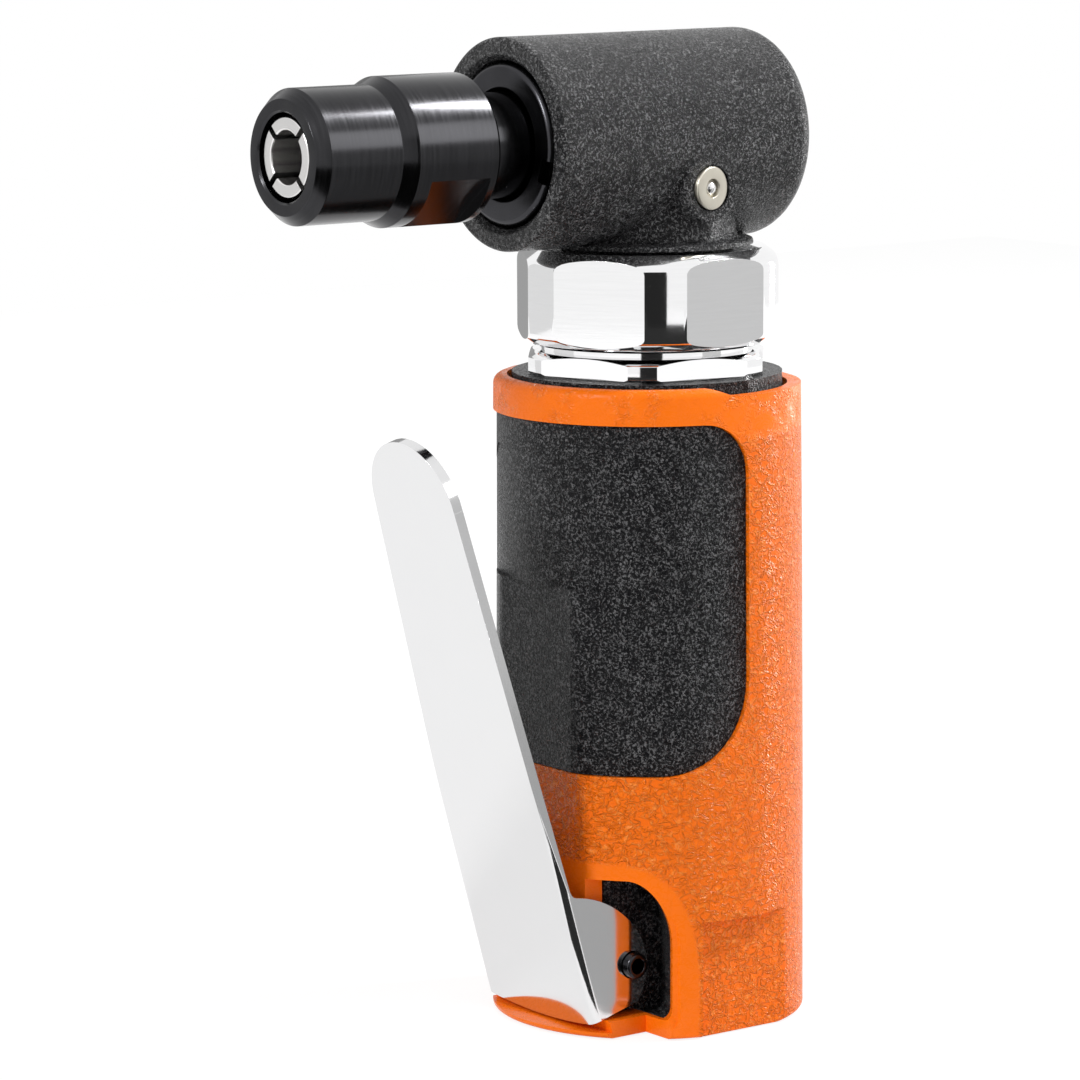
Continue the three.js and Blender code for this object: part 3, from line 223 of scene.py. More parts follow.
def add_loops(obj, planes):
    """Cuts edge loops along planes, so that the shading of a bend stays near the bend."""
    work = bmesh.new()
    work.from_mesh(obj.data)
    for place, normal in planes:
        everything = work.verts[:] + work.edges[:] + work.faces[:]
        bmesh.ops.bisect_plane(work, geom=everything, plane_co=place, plane_no=normal)
    work.to_mesh(obj.data)
    work.free()


def roughen(obj, low, high, radius, amount):
    """Makes the part of a turned piece between two heights and past a radius uneven."""
    for v in obj.data.vertices:
        r = math.hypot(v.co.x, v.co.y)
        if low <= v.co.z <= high and r > radius:
            shift = noise.noise(Vector((v.co.x, v.co.y, v.co.z)) * 1.9) * amount
            v.co.x *= 1 + shift / r
            v.co.y *= 1 + shift / r


def join(parts):
    """Moves the meshes of all parts into the first."""
    work = bmesh.new()
    for part in parts:
        work.from_mesh(part.data)
    work.to_mesh(parts[0].data)
    work.free()
    for part in parts[1:]:
        mesh = part.data
        bpy.data.objects.remove(part)
        bpy.data.meshes.remove(mesh)


# Cutting

def combine(obj, other, operation):
    """Changes a solid by another one, which is used up."""
    modifier = obj.modifiers.new("combine", "BOOLEAN")
    modifier.operation = operation
    modifier.solver = "EXACT"
    modifier.object = other
    graph = bpy.context.evaluated_depsgraph_get()
    mesh = bpy.data.meshes.new_from_object(obj.evaluated_get(graph))
    obj.modifiers.clear()
    old = obj.data
    obj.data = mesh
    bpy.data.meshes.remove(old)
    spent = other.data
    bpy.data.objects.remove(other)
    bpy.data.meshes.remove(spent)


def cut(obj, *cutters):
    for cutter in cutters:
        combine(obj, cutter, "DIFFERENCE")
    return obj


def both(*cutters):
    """The cutters and their mirror images on the left side."""
    twins = []
    for cutter in cutters:
        mesh = cutter.data.copy()
        twin = bpy.data.objects.new(cutter.name + "_twin", mesh)
        bpy.context.scene.collection.objects.link(twin)
        mesh.transform(Matrix.Scale(-1, 4, (1, 0, 0)))
        mesh.flip_normals()
        twins.append(twin)
    return [*cutters, *twins]


def box(x0, x1, y0, y1, z0, z1, turn=0.0):
    obj = prism("cutter", [(x0, y0), (x1, y0), (x1, y1), (x0, y1)], z0, z1, along_z)
    if turn:
        obj.data.transform(Matrix.Rotation(turn, 4, "Z"))
    return obj


def front_box(y, low, high, turn=0.0):
    """All that lies in front of y between two heights, turned about the handle's axis."""
    return box(-WIDE, WIDE, -FAR, y, low, high, turn)


def head_box(start, end, half, low, high, degrees):
    """A box from start to end beside the head's axis and from low to high along it, turned about it."""
    c, s = math.cos(math.radians(degrees)), math.sin(math.radians(degrees))
    return prism("cutter", [(start, -half), (end, -half), (end, half), (start, half)], low, high,
                 lambda u, v, w: (u * c - v * s, w, HEAD + u * s + v * c))


def plug(radius, low, high, segments=160, axis="z"):
    return lathe("cutter", [(0, low), (radius, low), (radius, high), (0, high)], segments, axis)


def bar(radius, y, z, reach, count):
    """A round bar along X, as the bore for a pin."""
    angles = [k / count * 2 * math.pi for k in range(count)]
    circle = [(radius * math.cos(t) + y, radius * math.sin(t) + z) for t in angles]
    return prism("cutter", circle, -reach, reach, along_x)


# Finishing

def finish_piece(obj, material, body, replaced, bevel=0.0, angle=32, segments=2):
    """Turns a mesh in millimetres into a finished piece on its CAD body."""
    obj.data.transform(Matrix.Scale(0.001, 4) @ Matrix.Translation((0, SHIFT, 0)))
    obj.data.shade_smooth()
    if bevel:
        modifier = obj.modifiers.new("edges", "BEVEL")
        modifier.width = bevel / 1000
        modifier.segments = segments
        modifier.limit_method = "ANGLE"
        modifier.angle_limit = math.radians(angle)
        modifier.harden_normals = True
    else:
        obj.data.set_sharp_from_angle(angle=math.radians(angle))
    obj.data.materials.clear()
    obj.data.materials.append(material)
    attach(obj, body)
    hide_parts(*replaced)


# Materials

class Shader:
    """A node material under construction."""

    def __init__(self, name, color, rough, metal=0.0):
        self.material = bpy.data.materials.new(name)
        self.material.use_nodes = True
        self.tree = self.material.node_tree
        self.main = self.tree.nodes["Principled BSDF"]
        self.main.inputs["Base Color"].default_value = (*color, 1)
        self.main.inputs["Roughness"].default_value = rough
        self.main.inputs["Metallic"].default_value = metal
        self.place = self.tree.nodes.new("ShaderNodeTexCoord").outputs["Object"]
        self.bumped = None

    def add(self, kind, **values):
        node = self.tree.nodes.new(kind)
        for key, value in values.items():
            setattr(node, key, value)
        return node

    def link(self, a, b):
        self.tree.links.new(a, b)

    def noise(self, size, detail=2.0, rough=0.5, stretch=(1, 1, 1), twist=0.0):
        """Noise whose features are about size millimetres across."""
        node = self.add("ShaderNodeTexNoise")
        node.inputs["Distortion"].default_value = twist
        node.inputs["Scale"].default_value = 1000.0 / size
        node.inputs["Detail"].default_value = detail
        node.inputs["Roughness"].default_value = rough
        source = self.place
        if stretch != (1, 1, 1):
            mapping = self.add("ShaderNodeMapping")
            mapping.inputs["Scale"].default_value = stretch
            self.link(source, mapping.inputs["Vector"])
            source = mapping.outputs["Vector"]
        self.link(source, node.inputs["Vector"])
        return node.outputs["Fac"]

    def veins(self, size, rough, stretch=(1, 1, 1)):
        """Winding lines, where the value is zero and grows to both sides."""
        wavy = self.noise(size, 2.0, rough, stretch, 0.8)
        return self.math("ABSOLUTE", self.math("SUBTRACT", wavy, 0.5))

    def ramp(self, source, low, high, to_low=0.0, to_high=1.0):
        node = self.add("ShaderNodeMapRange")
        node.inputs["From Min"].default_value = low
        node.inputs["From Max"].default_value = high
        node.inputs["To Min"].default_value = to_low
        node.inputs["To Max"].default_value = to_high
        self.link(source, node.inputs["Value"])
        return node.outputs["Result"]

    def math(self, operation, a, b=None):
        node = self.add("ShaderNodeMath", operation=operation)
        for socket, value in zip(node.inputs, (a, b)):
            if value is None:
                continue
            if isinstance(value, (int, float)):
                socket.default_value = value
            else:
                self.link(value, socket)
        return node.outputs["Value"]

    def mix(self, factor, a, b):
        node = self.add("ShaderNodeMix", data_type="RGBA")
        self.link(factor, node.inputs["Factor"])
        for key, value in (("A", a), ("B", b)):
            socket = [s for s in node.inputs if s.name == key and s.type == "RGBA"][0]
            if isinstance(value, tuple):
                socket.default_value = (*value, 1)
            else:
                self.link(value, socket)
        return [s for s in node.outputs if s.type == "RGBA"][0]

    def color(self, output):
        self.link(output, self.main.inputs["Base Color"])

    def roughness(self, output):
        self.link(output, self.main.inputs["Roughness"])

    def gloss(self, value):
        self.main.inputs["Specular IOR Level"].default_value = value

    def bump(self, height, distance, strength=1.0):
        """Adds a bump of so many millimetres to those before it."""
        node = self.add("ShaderNodeBump")
        node.inputs["Distance"].default_value = distance / 1000.0
        if isinstance(strength, (int, float)):
            node.inputs["Strength"].default_value = strength
        else:
            self.link(strength, node.inputs["Strength"])
        self.link(height, node.inputs["Height"])
        if self.bumped is not None:
            self.link(self.bumped, node.inputs["Normal"])
        self.bumped = node.outputs["Normal"]
        self.link(self.bumped, self.main.inputs["Normal"])

    def axis(self, letter):
        node = self.add("ShaderNodeSeparateXYZ")
        self.link(self.place, node.inputs["Vector"])
        return node.outputs[letter]


def orange_material():
    """Orange rubber: veined, but smooth round the ear pocket and veined only in patches on the collar."""
    look = Shader("orange grip", (0.9, 0.19, 0.008), 0.42)
    look.gloss(0.18)
    y, z = look.axis("Y"), look.axis("Z")

    # In metres: where the collar begins, the smooth oval round the pocket, and where it ends behind
    collar_low, collar_high = 0.0735, 0.0752
    oval = ((y, 0.0011, 0.0096), (z, 0.0050, 0.0168))
    back_low, back_high = 0.0104, 0.0110

    terms = []
    for value, centre, size in oval:
        past = look.math("DIVIDE", look.math("ADD", value, -centre), size)
        terms.append(look.math("POWER", look.math("MAXIMUM", past, 0.0), 2.4))
    outside = look.math("MAXIMUM", look.ramp(look.math("ADD", *terms), 0.96, 1.08),
                        look.ramp(y, back_low, back_high))
    grain = look.math("MULTIPLY", look.ramp(z, collar_low, collar_high, 1.0, 0.0), outside)
    patches = look.math("MULTIPLY", look.ramp(z, collar_low, collar_high),
                        look.ramp(look.noise(4.0), 0.46, 0.60, 0.0, 0.6))
    amount = look.math("MAXIMUM", grain, patches)

    veins = look.veins(1.1, 0.5, (1, 1, 1.4))
    ridges = look.ramp(veins, 0.0, 0.11, 1.0, 0.0)
    look.bump(ridges, 0.22, amount)
    look.bump(look.noise(0.45, rough=0.6), 0.09, look.math("ADD", look.math("MULTIPLY", amount, 0.8), 0.05))
    # The grain's valleys between the raised ridges are painted a little darker, as painted shade
    valley_shade = look.math("MULTIPLY", look.ramp(veins, 0.06, 0.2), amount)
    tone = look.mix(valley_shade, (0.98, 0.180, 0.004), (0.93, 0.152, 0.002))
    # Pale orange dashes on the ridge tops are painted glints
    glint_spots = look.math("MULTIPLY", look.ramp(ridges, 0.45, 0.9), look.ramp(look.noise(0.9), 0.46, 0.60))
    painted_glints = look.math("MULTIPLY", glint_spots, look.math("MULTIPLY", amount, 0.5))
    look.color(look.mix(painted_glints, tone, (1.0, 0.36, 0.08)))
    look.roughness(look.ramp(ridges, 0.2, 0.9, 0.36, 0.20))
    return look.material


def black_grain(name, dark, light, size, depth, rough, glint_strength=0.5, gloss=0.3):
    """Black moulded or wrinkle-painted surface: fine raised veins with pale tops that are painted
    highlights.
    """
    look = Shader(name, dark, rough)
    look.gloss(gloss)
    ridges = look.ramp(look.veins(size, 0.6), 0.0, 0.12, 1.0, 0.0)
    lumps = look.noise(size * 0.6, rough=0.6)
    # The light colour on the vein tops is a painted highlight, stronger in some patches than in others
    glint_tops = look.math("MULTIPLY", look.ramp(ridges, 0.30, 0.75), look.ramp(lumps, 0.45, 0.58))
    factor = look.math("MULTIPLY", glint_tops, look.ramp(look.noise(3.0), 0.35, 0.65, glint_strength * 0.7, glint_strength))
    look.color(look.mix(factor, dark, light))
    look.bump(ridges, depth * 0.5)
    look.bump(lumps, depth)
    look.roughness(look.ramp(lumps, 0.35, 0.65, rough + 0.14, rough - 0.06))
    return look.material


def metal_material(name, color, rough, lines=None, depth=0.0, vary=0.03, shade=0.96):
    """Metal with faint machining lines across an axis."""
    look = Shader(name, color, rough, 1.0)
    stretch = {"Y": (1, 24, 1), "Z": (1, 1, 24)}.get(lines, (1, 1, 1))
    streaks = look.noise(7.0, 3.0, 0.7, stretch)
    look.roughness(look.ramp(streaks, 0.3, 0.7, max(0.02, rough - vary), rough + vary))
    look.color(look.mix(look.ramp(streaks, 0.35, 0.65), tuple(c * shade for c in color), color))
    if depth:
        look.bump(streaks, depth, 0.5)
    return look.material


BLACK = (0.002, 0.002, 0.003)
orange = orange_material()
# The second colour given to black_grain is the colour of its painted highlights on the vein tops
grip, housing = (black_grain(name, BLACK, (0.20, 0.20, 0.205), 0.50, 0.20, 0.24, glint_strength=0.9, gloss=0.17)
                 for name in ("grip panel", "housing plastic"))
casting = black_grain("head casting", BLACK, (0.26, 0.26, 0.265), 0.50, 0.26, 0.18, glint_strength=0.95, gloss=0.25)
dark_steel = metal_material("blackened steel", (0.045, 0.045, 0.048), 0.2, "Y", 0.003, vary=0.04, shade=0.8)
dark_ring = metal_material("blackened ring", (0.05, 0.05, 0.055), 0.24, "Y", 0.003, vary=0.04, shade=0.8)
chrome = metal_material("polished chrome", (0.90, 0.90, 0.905), 0.06, "Z", 0.0010, vary=0.01, shade=0.975)
sheet = metal_material("polished sheet", (0.77, 0.77, 0.775), 0.11, vary=0.02, shade=0.99)
steel = metal_material("machined steel", (0.62, 0.62, 0.64), 0.25, "Z", 0.004)
collet_steel = metal_material("collet steel", (0.80, 0.79, 0.78), 0.22, "Y", 0.003)
nickel = metal_material("nickel", (0.62, 0.585, 0.50), 0.33, vary=0.05, shade=0.9)
brass = metal_material("brass", (0.75, 0.55, 0.22), 0.28, "Y", 0.004)
seal = black_grain("seal rubber", (0.01, 0.01, 0.01), (0.03, 0.03, 0.03), 0.4, 0.02, 0.55)
felt = black_grain("muffler felt", (0.2, 0.2, 0.19), (0.45, 0.45, 0.42), 0.3, 0.1, 0.9)
fibre = black_grain("vane board", (0.10, 0.055, 0.02), (0.2, 0.12, 0.06), 0.6, 0.02, 0.7)


# Sleeve

def sleeve_radius(height):
    return BASE_RADIUS - (BASE_RADIUS - TOP_RADIUS) * height / SLEEVE_HEIGHT


def pocket_outline(grow=0.0):
    """The ear pocket from the side, as (y, z), with a long curve over the lever's ear."""
    back, bottom, top = -9.55 + grow, BASE_THICK - grow, 19.95 + grow
    corner, ear, steps = 1.5, 11.3, 6
    points = [(-WIDE, bottom), (back - corner, bottom)]
    for k in range(1, steps + 1):
        t = math.pi / 2 * k / steps
        points.append((back - corner + corner * math.sin(t), bottom + corner - corner * math.cos(t)))
    points.append((back, PIVOT[2] + ear * 0.28))
    curve_on(points, (back, PIVOT[2] + ear * 0.62), (back - ear * 0.28, top), (back - ear * 0.58, top), 16)
    points.append((-WIDE, top))
    return points


def pocket_cutter():
    """The pocket, whose back wall slants backward on its way to the handle's middle."""
    slant, depth = 0.55, 8.0
    return prism("cutter", pocket_outline(), BORE - depth, OUTSIDE,
                 lambda u, v, w: (w, u + slant * (BORE - w), v))


def lip_cutter():
    """The chamfer round the pocket's mouth."""
    near, far = pocket_outline(), pocket_outline(0.9)
    rings = ((16.2, near), (17.1, far), (OUTSIDE, far))
    return solid("cutter", [[(x, u, v) for u, v in outline] for x, outline in rings])


def recess_cutter():
    """What lies in front of the lever's inner face at rest, above the foot ledge."""
    def lean(u, v, w):
        y = u * math.cos(TILT) - v * math.sin(TILT)
        z = u * math.sin(TILT) + v * math.cos(TILT)
        return (w, y + PIVOT[1], z + PIVOT[2])
    clear, past = 0.5, 60.0
    face = SHEET + clear - LEVER_REACH
    slab = prism("cutter", [(-past, -past), (face, -past), (face, past), (-past, past)], -past, past, lean)
    return cut(slab, box(-2 * past, 2 * past, -2 * past, 2 * past, -2 * past, LEDGE))


def front_cutters(radius, low):
    """The flat front under the lever, and a narrow facet that eases each of its two edges."""
    ease = 0.11
    lean = math.acos(FRONT_FLAT / radius) / 2
    cutters = [front_box(-FRONT_FLAT, low, FRONT_TOP)]
    for turn in (-lean, lean):
        cutters.append(front_box(ease - radius * math.cos(lean), low, FRONT_TOP, turn))
    return cutters


def panel_ring(name, gap, inner, outer):
    """The grip panel's shape, smaller by a gap all round; inner and outer give its radii for a height."""
    half = PANEL_HALF - gap / TOP_RADIUS
    low, high = PANEL_LOW + gap, PANEL_HIGH - gap
    low_corner, high_corner = LOW_CORNER - gap, HIGH_CORNER - gap
    flat_steps, corner_steps, rows = 24, 10, 6

    def corner_rise(side, corner):
        if side >= corner:
            return 0.0
        return corner - math.sqrt(max(0.0, corner ** 2 - (corner - side) ** 2))

    width = half * TOP_RADIUS
    marks = {width * k / flat_steps for k in range(flat_steps + 1)}
    for corner in (low_corner, high_corner):
        marks |= {corner * (1 - math.cos(math.pi / 2 * k / corner_steps)) for k in range(corner_steps + 1)}
    angles = [-half + side / TOP_RADIUS for side in sorted(marks) if side <= width + TINY]
    angles += [-angle for angle in reversed(angles[:-1])]
    rings = []
    for angle in angles:
        side = (half - abs(angle)) * TOP_RADIUS
        bottom, top = low + corner_rise(side, low_corner), high - corner_rise(side, high_corner)
        heights = [bottom + (top - bottom) * k / rows for k in range(rows + 1)]
        line = [(inner(h), h) for h in heights] + [(outer(h), h) for h in reversed(heights)]
        rings.append(round_front(line, angle))
    return solid(name, rings)


def rim_step():
    """The collar's rim drops toward the back by a soft step."""
    rim, fall, start, run, steps = SLEEVE_HEIGHT + 0.1, 1.15, -5.2, 4.6, 10
    above = rim + 1.2
    slope = [(start + run * k / steps, rim - fall * (0.5 - 0.5 * math.cos(math.pi * k / steps)))
             for k in range(steps + 1)]
    outline = [(start - 0.8, above)] + slope + [(FAR, rim - fall), (FAR, above)]
    return prism("cutter", outline, -WIDE, WIDE, along_x)


def make_sleeve():
    body = lathe("sleeve_skin", [(0, 0), (BASE_RADIUS, 0, 0.55), (19.52, 30), (19.32, 60),
                                 (TOP_RADIUS, SLEEVE_HEIGHT, 1.1), (0, SLEEVE_HEIGHT)], 192, steps=6)

    # The bore leaves a wall behind the flat front, thinner from mid_height up, and the opening in the base
    # stops short of it
    mid_height, low_wall, high_wall = 32.1, -14.45, -15.75
    bore = plug(BORE, BASE_THICK, 84)
    cut(bore, front_box(low_wall, -1, mid_height), front_box(high_wall, mid_height - 0.05, FRONT_TOP - 0.3))
    opening = plug(BORE, -1, BASE_THICK + 0.15)
    cut(opening, front_box(-8.9, -2, 3))
    bed = panel_ring("cutter", 0.0, lambda h: 15.0, lambda h: OUTSIDE)
    notch = box(12.0, OUTSIDE, -OUTSIDE, -9.65, -1, 3.9)
    wrench_flat = box(18.1, OUTSIDE, -5.9, OUTSIDE, -1, 14.5)
    pin_hole = bar(1.72, PIVOT[1], PIVOT[2], OUTSIDE, 24)
    stem_hole, stem_height = plug(2.1, -FAR, -12, 32, "y"), 23.5
    stem_hole.data.transform(Matrix.Translation((0, 0, stem_height - HEAD)))
    cut(body, bore, opening, rim_step(), *front_cutters(19.44, LEDGE), recess_cutter(), bed, pin_hole,
        *both(pocket_cutter()), *both(lip_cutter()), *both(notch, wrench_flat), stem_hole)
    finish_piece(body, orange, "handle", ["orange_sleeve"], 0.32, 30, 3)


# Grip panel, with a scoop for the finger that gets deeper toward the flat front

def make_panel():
    body = panel_ring("panel_skin", 0.1, lambda h: 16.6, lambda h: sleeve_radius(h) - PANEL_SUNK)
    half, bevel_at, steps = math.radians(41), math.radians(28), 48
    scoop_top, corner_drop = 72.0, 2.8
    shallow_at, shallow, deepening, lift = 72.6, 0.26, 0.6, 0.04

    def scooped(h, fade):
        middle = shallow + deepening * (shallow_at - h) / (shallow_at - FRONT_TOP)
        return sleeve_radius(h) - PANEL_SUNK - (fade * middle - lift * (1 - fade))

    rings = []
    for k in range(steps + 1):
        angle = -half + 2 * half * k / steps
        fade = 1 - abs(angle / half) ** 3
        top = scoop_top - corner_drop * max(0.0, abs(angle) - bevel_at) / (half - bevel_at)
        line = [(scooped(FRONT_TOP, fade), FRONT_TOP), (scooped(top, fade), top),
                (OUTSIDE, top), (OUTSIDE, FRONT_TOP)]
        rings.append(round_front(line, angle))
    cut(body, *front_cutters(18.93, 0.0), solid("cutter", rings))
    finish_piece(body, grip, "handle", ["grip_panel"], 0.14, 20, 2)


# Throttle lever, drawn upright on its pivot and then leaned forward

def make_lever():
    half, tip, length, foot = 11.1, 8.3, 70.9, -4.9
    arm, ear_top, outer_bend, inner_bend, wide = 6.5, 11.8, 1.05, 0.3, 20
    inner, before = SHEET - LEVER_REACH, -LEVER_REACH - 2

    # The bent sheet from above
    channel = [(-half, arm, 0), (-half, -LEVER_REACH, outer_bend),
               (half, -LEVER_REACH, outer_bend), (half, arm, 0),
               (half - SHEET, arm, 0), (half - SHEET, inner, inner_bend),
               (SHEET - half, inner, inner_bend), (SHEET - half, arm, 0)]
    body = prism("lever_skin", fillet(channel, 8), foot - 2, length + 2, along_z)

    # Its outline from the front, with a bellied foot and a round tip
    inset, belly, foot_steps, tip_steps = 0.5, 0.8, 12, 24
    front = []
    for k in range(foot_steps + 1):
        t = k / foot_steps
        front.append((inset - half + (2 * half - 2 * inset) * t, foot - belly * (1 - (2 * t - 1) ** 2)))
    front += [(half, foot + 0.1), (half, ear_top)]
    for k in range(tip_steps + 1):
        t = math.pi * k / tip_steps
        front.append((tip * math.cos(t), length - tip + tip * math.sin(t)))
    front += [(-half, ear_top), (-half, foot + 0.1)]
    combine(body, prism("cutter", front, -wide, 10, along_y), "INTERSECT")

    # Its outline from the side, with the rounded ears
    side = [(before, foot - 2), (inner, foot - 2), (inner + 0.4, foot), (-0.6, foot - 0.05)]
    curve_on(side, (0.8, -3.4), (2.2, -2.2), (2.4, 0.6), 8)
    curve_on(side, (2.7, 4.4), (-0.6, 9.4), (-5.2, 11.4), 14)
    curve_on(side, (-5.9, 11.7), (-6.2, 11.8), (inner, 12.7), 4)
    side += [(inner, length + 4), (before, length + 4)]
    combine(body, prism("cutter", side, -wide, wide, along_x), "INTERSECT")
    cut(body, bar(1.75, 0, 0, wide, 32))

    beside = 0.2
    edge_x, edge_y = half - outer_bend - beside, outer_bend + beside - LEVER_REACH
    add_loops(body, [((edge_x, 0, 0), (1, 0, 0)), ((-edge_x, 0, 0), (1, 0, 0)), ((0, edge_y, 0), (0, 1, 0)),
                     ((0, 0, foot + 3 * beside), (0, 0, 1)), ((0, 0, length - tip), (0, 0, 1))])
    body.data.transform(Matrix.Translation(PIVOT) @ Matrix.Rotation(TILT, 4, "X"))
    finish_piece(body, sheet, "lever", ["throttle_lever"], 0.15, 40, 3)


def make_pin():
    bore, radius, end = 0.95, 1.6, 12.3
    profile = [(bore, -end, 0.1), (radius, -end, 0.3), (radius, end, 0.3), (bore, end, 0.1)]
    ring = lathe("pin_skin", profile, 40)
    cut(ring, box(-0.12, 0.12, -2.2, 0, -14, 14, math.radians(205)))
    ring.data.transform(Matrix.Translation((0, PIVOT[1], PIVOT[2])) @ Matrix.Rotation(math.pi / 2, 4, "Y"))
    finish_piece(ring, dark_ring, "handle", ["lever_pin"])


# Coupling

def hexagon(name, profile, flat, low, high, turn):
    """A turned piece with six flats at a distance from the axis, between two heights."""
    body = lathe(name, profile, 240)
    for k in range(6):
        cut(body, front_box(-flat, low - 3, high + 3, turn + k * math.pi / 3))
    return body


def make_coupling():
    low, high = 84.2, 96.1
    profile = [(0, low), (14.5, low, 0.3), (16.6, 85.5, 1.0), (16.6, 94.7, 1.5), (14.6, high, 0.5),
               (0, high)]
    nut = hexagon("coupling_skin", profile, 15.5, low, high, math.radians(30))
    cut(nut, lathe("cutter", [(0, 83), (13.4, 83), (13.4, 92.3), (11.3, 92.3), (11.3, 98), (0, 98)], 160))
    finish_piece(nut, chrome, "coupling", ["coupling_nut"], 0.16, 14, 3)


def make_clamp():
    low, high = 80.9, 83.3
    profile = [(0, 71.0), (13.4, 71.0, 0.2), (13.4, low), (15.5, low, 0.1), (15.7, 81.1, 0.1),
               (15.7, 82.75, 0.2), (14.2, 83.4, 0.15), (13.1, 83.45), (13.1, 88.8, 0.3), (0, 88.8)]
    clamp = hexagon("clamp_skin", profile, 14.4, low, high, math.radians(20))
    cut(clamp, plug(10.2, 70, 90))
    finish_piece(clamp, chrome, "handle", ["motor_clamp_sleeve"], 0.12, 14, 2)


# Head

def make_head():
    """The turned shell, the neck with the uneven rim of its gasket, and the boss of the grease fitting."""
    radius, front, back, floor = 12.95, -22.4, 16.8, -12.0
    shell = lathe("head_skin", [
        (10.2, floor), (10.2, -21.7, 0.2), (10.85, front, 0.25), (radius, front, 0.55), (radius, back, 2.9),
        (0, back), (0, floor)], 224, "y", 8)
    neck = lathe("neck", [(0, 91.0), (10.6, 91.0), (10.6, 96.35), (13.15, 96.35, 0.15), (13.1, 97.0, 0.25),
                          (11.3, 97.25, 0.3), (11.0, 97.9, 0.4), (11.0, 104.0), (0, 104.0)], 160)
    roughen(neck, 96.3, 97.2, 12.0, 0.16)
    boss = lathe("boss", [(0, 0.5), (4.9, 0.5), (4.2, 12.4), (4.05, 12.85, 0.35), (0, 12.85)], 96)
    cut(boss, plug(2.8, 11.2, 14, 64))
    boss.data.transform(Matrix.Translation((0, 0, FITTING)) @ Matrix.Rotation(math.pi / 2, 4, "Y"))
    join([shell, neck, boss])
    finish_piece(shell, casting, "head", ["angle_head"], angle=34)


def make_fitting():
    """The grease fitting and its ball, drawn upright and then laid into the boss."""
    place = (Matrix.Translation((12.8, 0, FITTING)) @ Matrix.Rotation(math.radians(8), 4, "Z")
             @ Matrix.Rotation(math.pi / 2, 4, "Y") @ Matrix.Translation((0, 0, -2.6)))
    ring = lathe("fitting_skin", [(0, 0), (2.65, 0), (2.65, 2.85, 0.2), (1.15, 2.85, 0.1), (1.05, 2.2),
                                  (0, 2.2)], 72)
    ring.data.transform(place)
    finish_piece(ring, nickel, "head", ["grease_fitting"])
    radius, centre, steps = 0.92, 2.1, 8
    dome = [(radius * math.cos(math.pi / 2 * k / steps), centre + radius * math.sin(math.pi / 2 * k / steps))
            for k in range(steps)]
    ball = lathe("fitting_ball", [(0, 1.4), (radius, 1.4)] + dome + [(0, centre + radius)], 48)
    ball.data.transform(place)
    finish_piece(ball, collet_steel, "head", ["grease_ball"])


def make_retainer():
    bore, radius, front, back = 6.85, 9.86, -22.3, -19.3
    profile = [(bore, front, 0.25), (radius, front, 0.75), (radius, back, 0.1), (bore, back, 0.1)]
    body = lathe("retainer_skin", profile, 160, "y", 6)
    cut(body, *[head_box(8.2, 12, 1.5, -24, -20.7, degrees) for degrees in (-18, 162)])
    finish_piece(body, dark_ring, "head", ["bearing_retainer"], 0.1, 40, 2)


def make_spindle():
    body = lathe("spindle_skin", [
        (0, 11.7), (0, -25.2), (3.48, -25.2), (3.48, -29.9), (4.2, -29.9), (5.3, -45.5), (5.9, -45.5, 0.1),
        (6.2, -45.2, 0.1), (6.2, -29.0), (6.4, -28.8, 0.1), (6.4, -20.3, 0.2), (6.1, -19.6, 0.1),
        (4.4, -19.4), (4.4, -13.4), (3.9, -13.4), (3.9, 7.7), (3.0, 7.7), (3.0, 11.7, 0.3)], 128, "y")
    finish_piece(body, dark_steel, "spindle_shaft", ["spindle"])


def make_collet():
    bore, front, back = 3.18, -53.4, -30.5
    body = lathe("collet_skin", [(bore, front, 0.25), (4.72, front, 0.2), (5.5, -49.5, 0.1), (4.5, -49.2),
                                 (4.5, -45.8), (5.0, -45.5), (3.9, back, 0.1), (bore, back)], 112, "y")
    cut(body, *[head_box(-9, 9, 0.4, -56, -36.4, degrees) for degrees in (45, -45)])
    finish_piece(body, collet_steel, "collet_body", ["collet"], 0.08, 40, 2)


def make_nut():
    body = lathe("nut_skin", [
        (5.3, -53.6), (5.55, -53.85, 0.06), (6.88, -53.85, 0.1), (8.1, -52.4, 0.12), (8.1, -42.3, 0.3),
        (8.84, -40.75, 0.12), (9.0, -40.45, 0.08), (9.0, -29.1, 0.1), (8.7, -28.7, 0.1), (6.5, -28.7, 0.1),
        (6.5, -49.1), (5.8, -49.5)], 224, "y", 5)
    cut(body, *[head_box(7.65, 14, 12, -38.5, -29.95, degrees) for degrees in (-52, 128)])
    finish_piece(body, dark_steel, "nut_body", ["collet_nut"], 0.1, 25, 2)


# Inlet with its thread, seen from below

def make_inlet():
    radius, low, high = 8.2, 0.3, 15.8
    root, crest, first, pitch, turns = 6.55, 5.95, 1.2, 1.41, 9
    profile = [(radius, low, 0.3), (radius, high, 0.1), (5.9, high)]
    for k in reversed(range(turns)):
        base = first + k * pitch
        profile += [(crest, base + pitch * 0.75), (root, base + pitch * 0.5), (crest, base + pitch * 0.25)]
    profile.append((6.6, low, 0.1))
    finish_piece(lathe("inlet_skin", profile, 96), steel, "handle", ["air_inlet_bushing"])
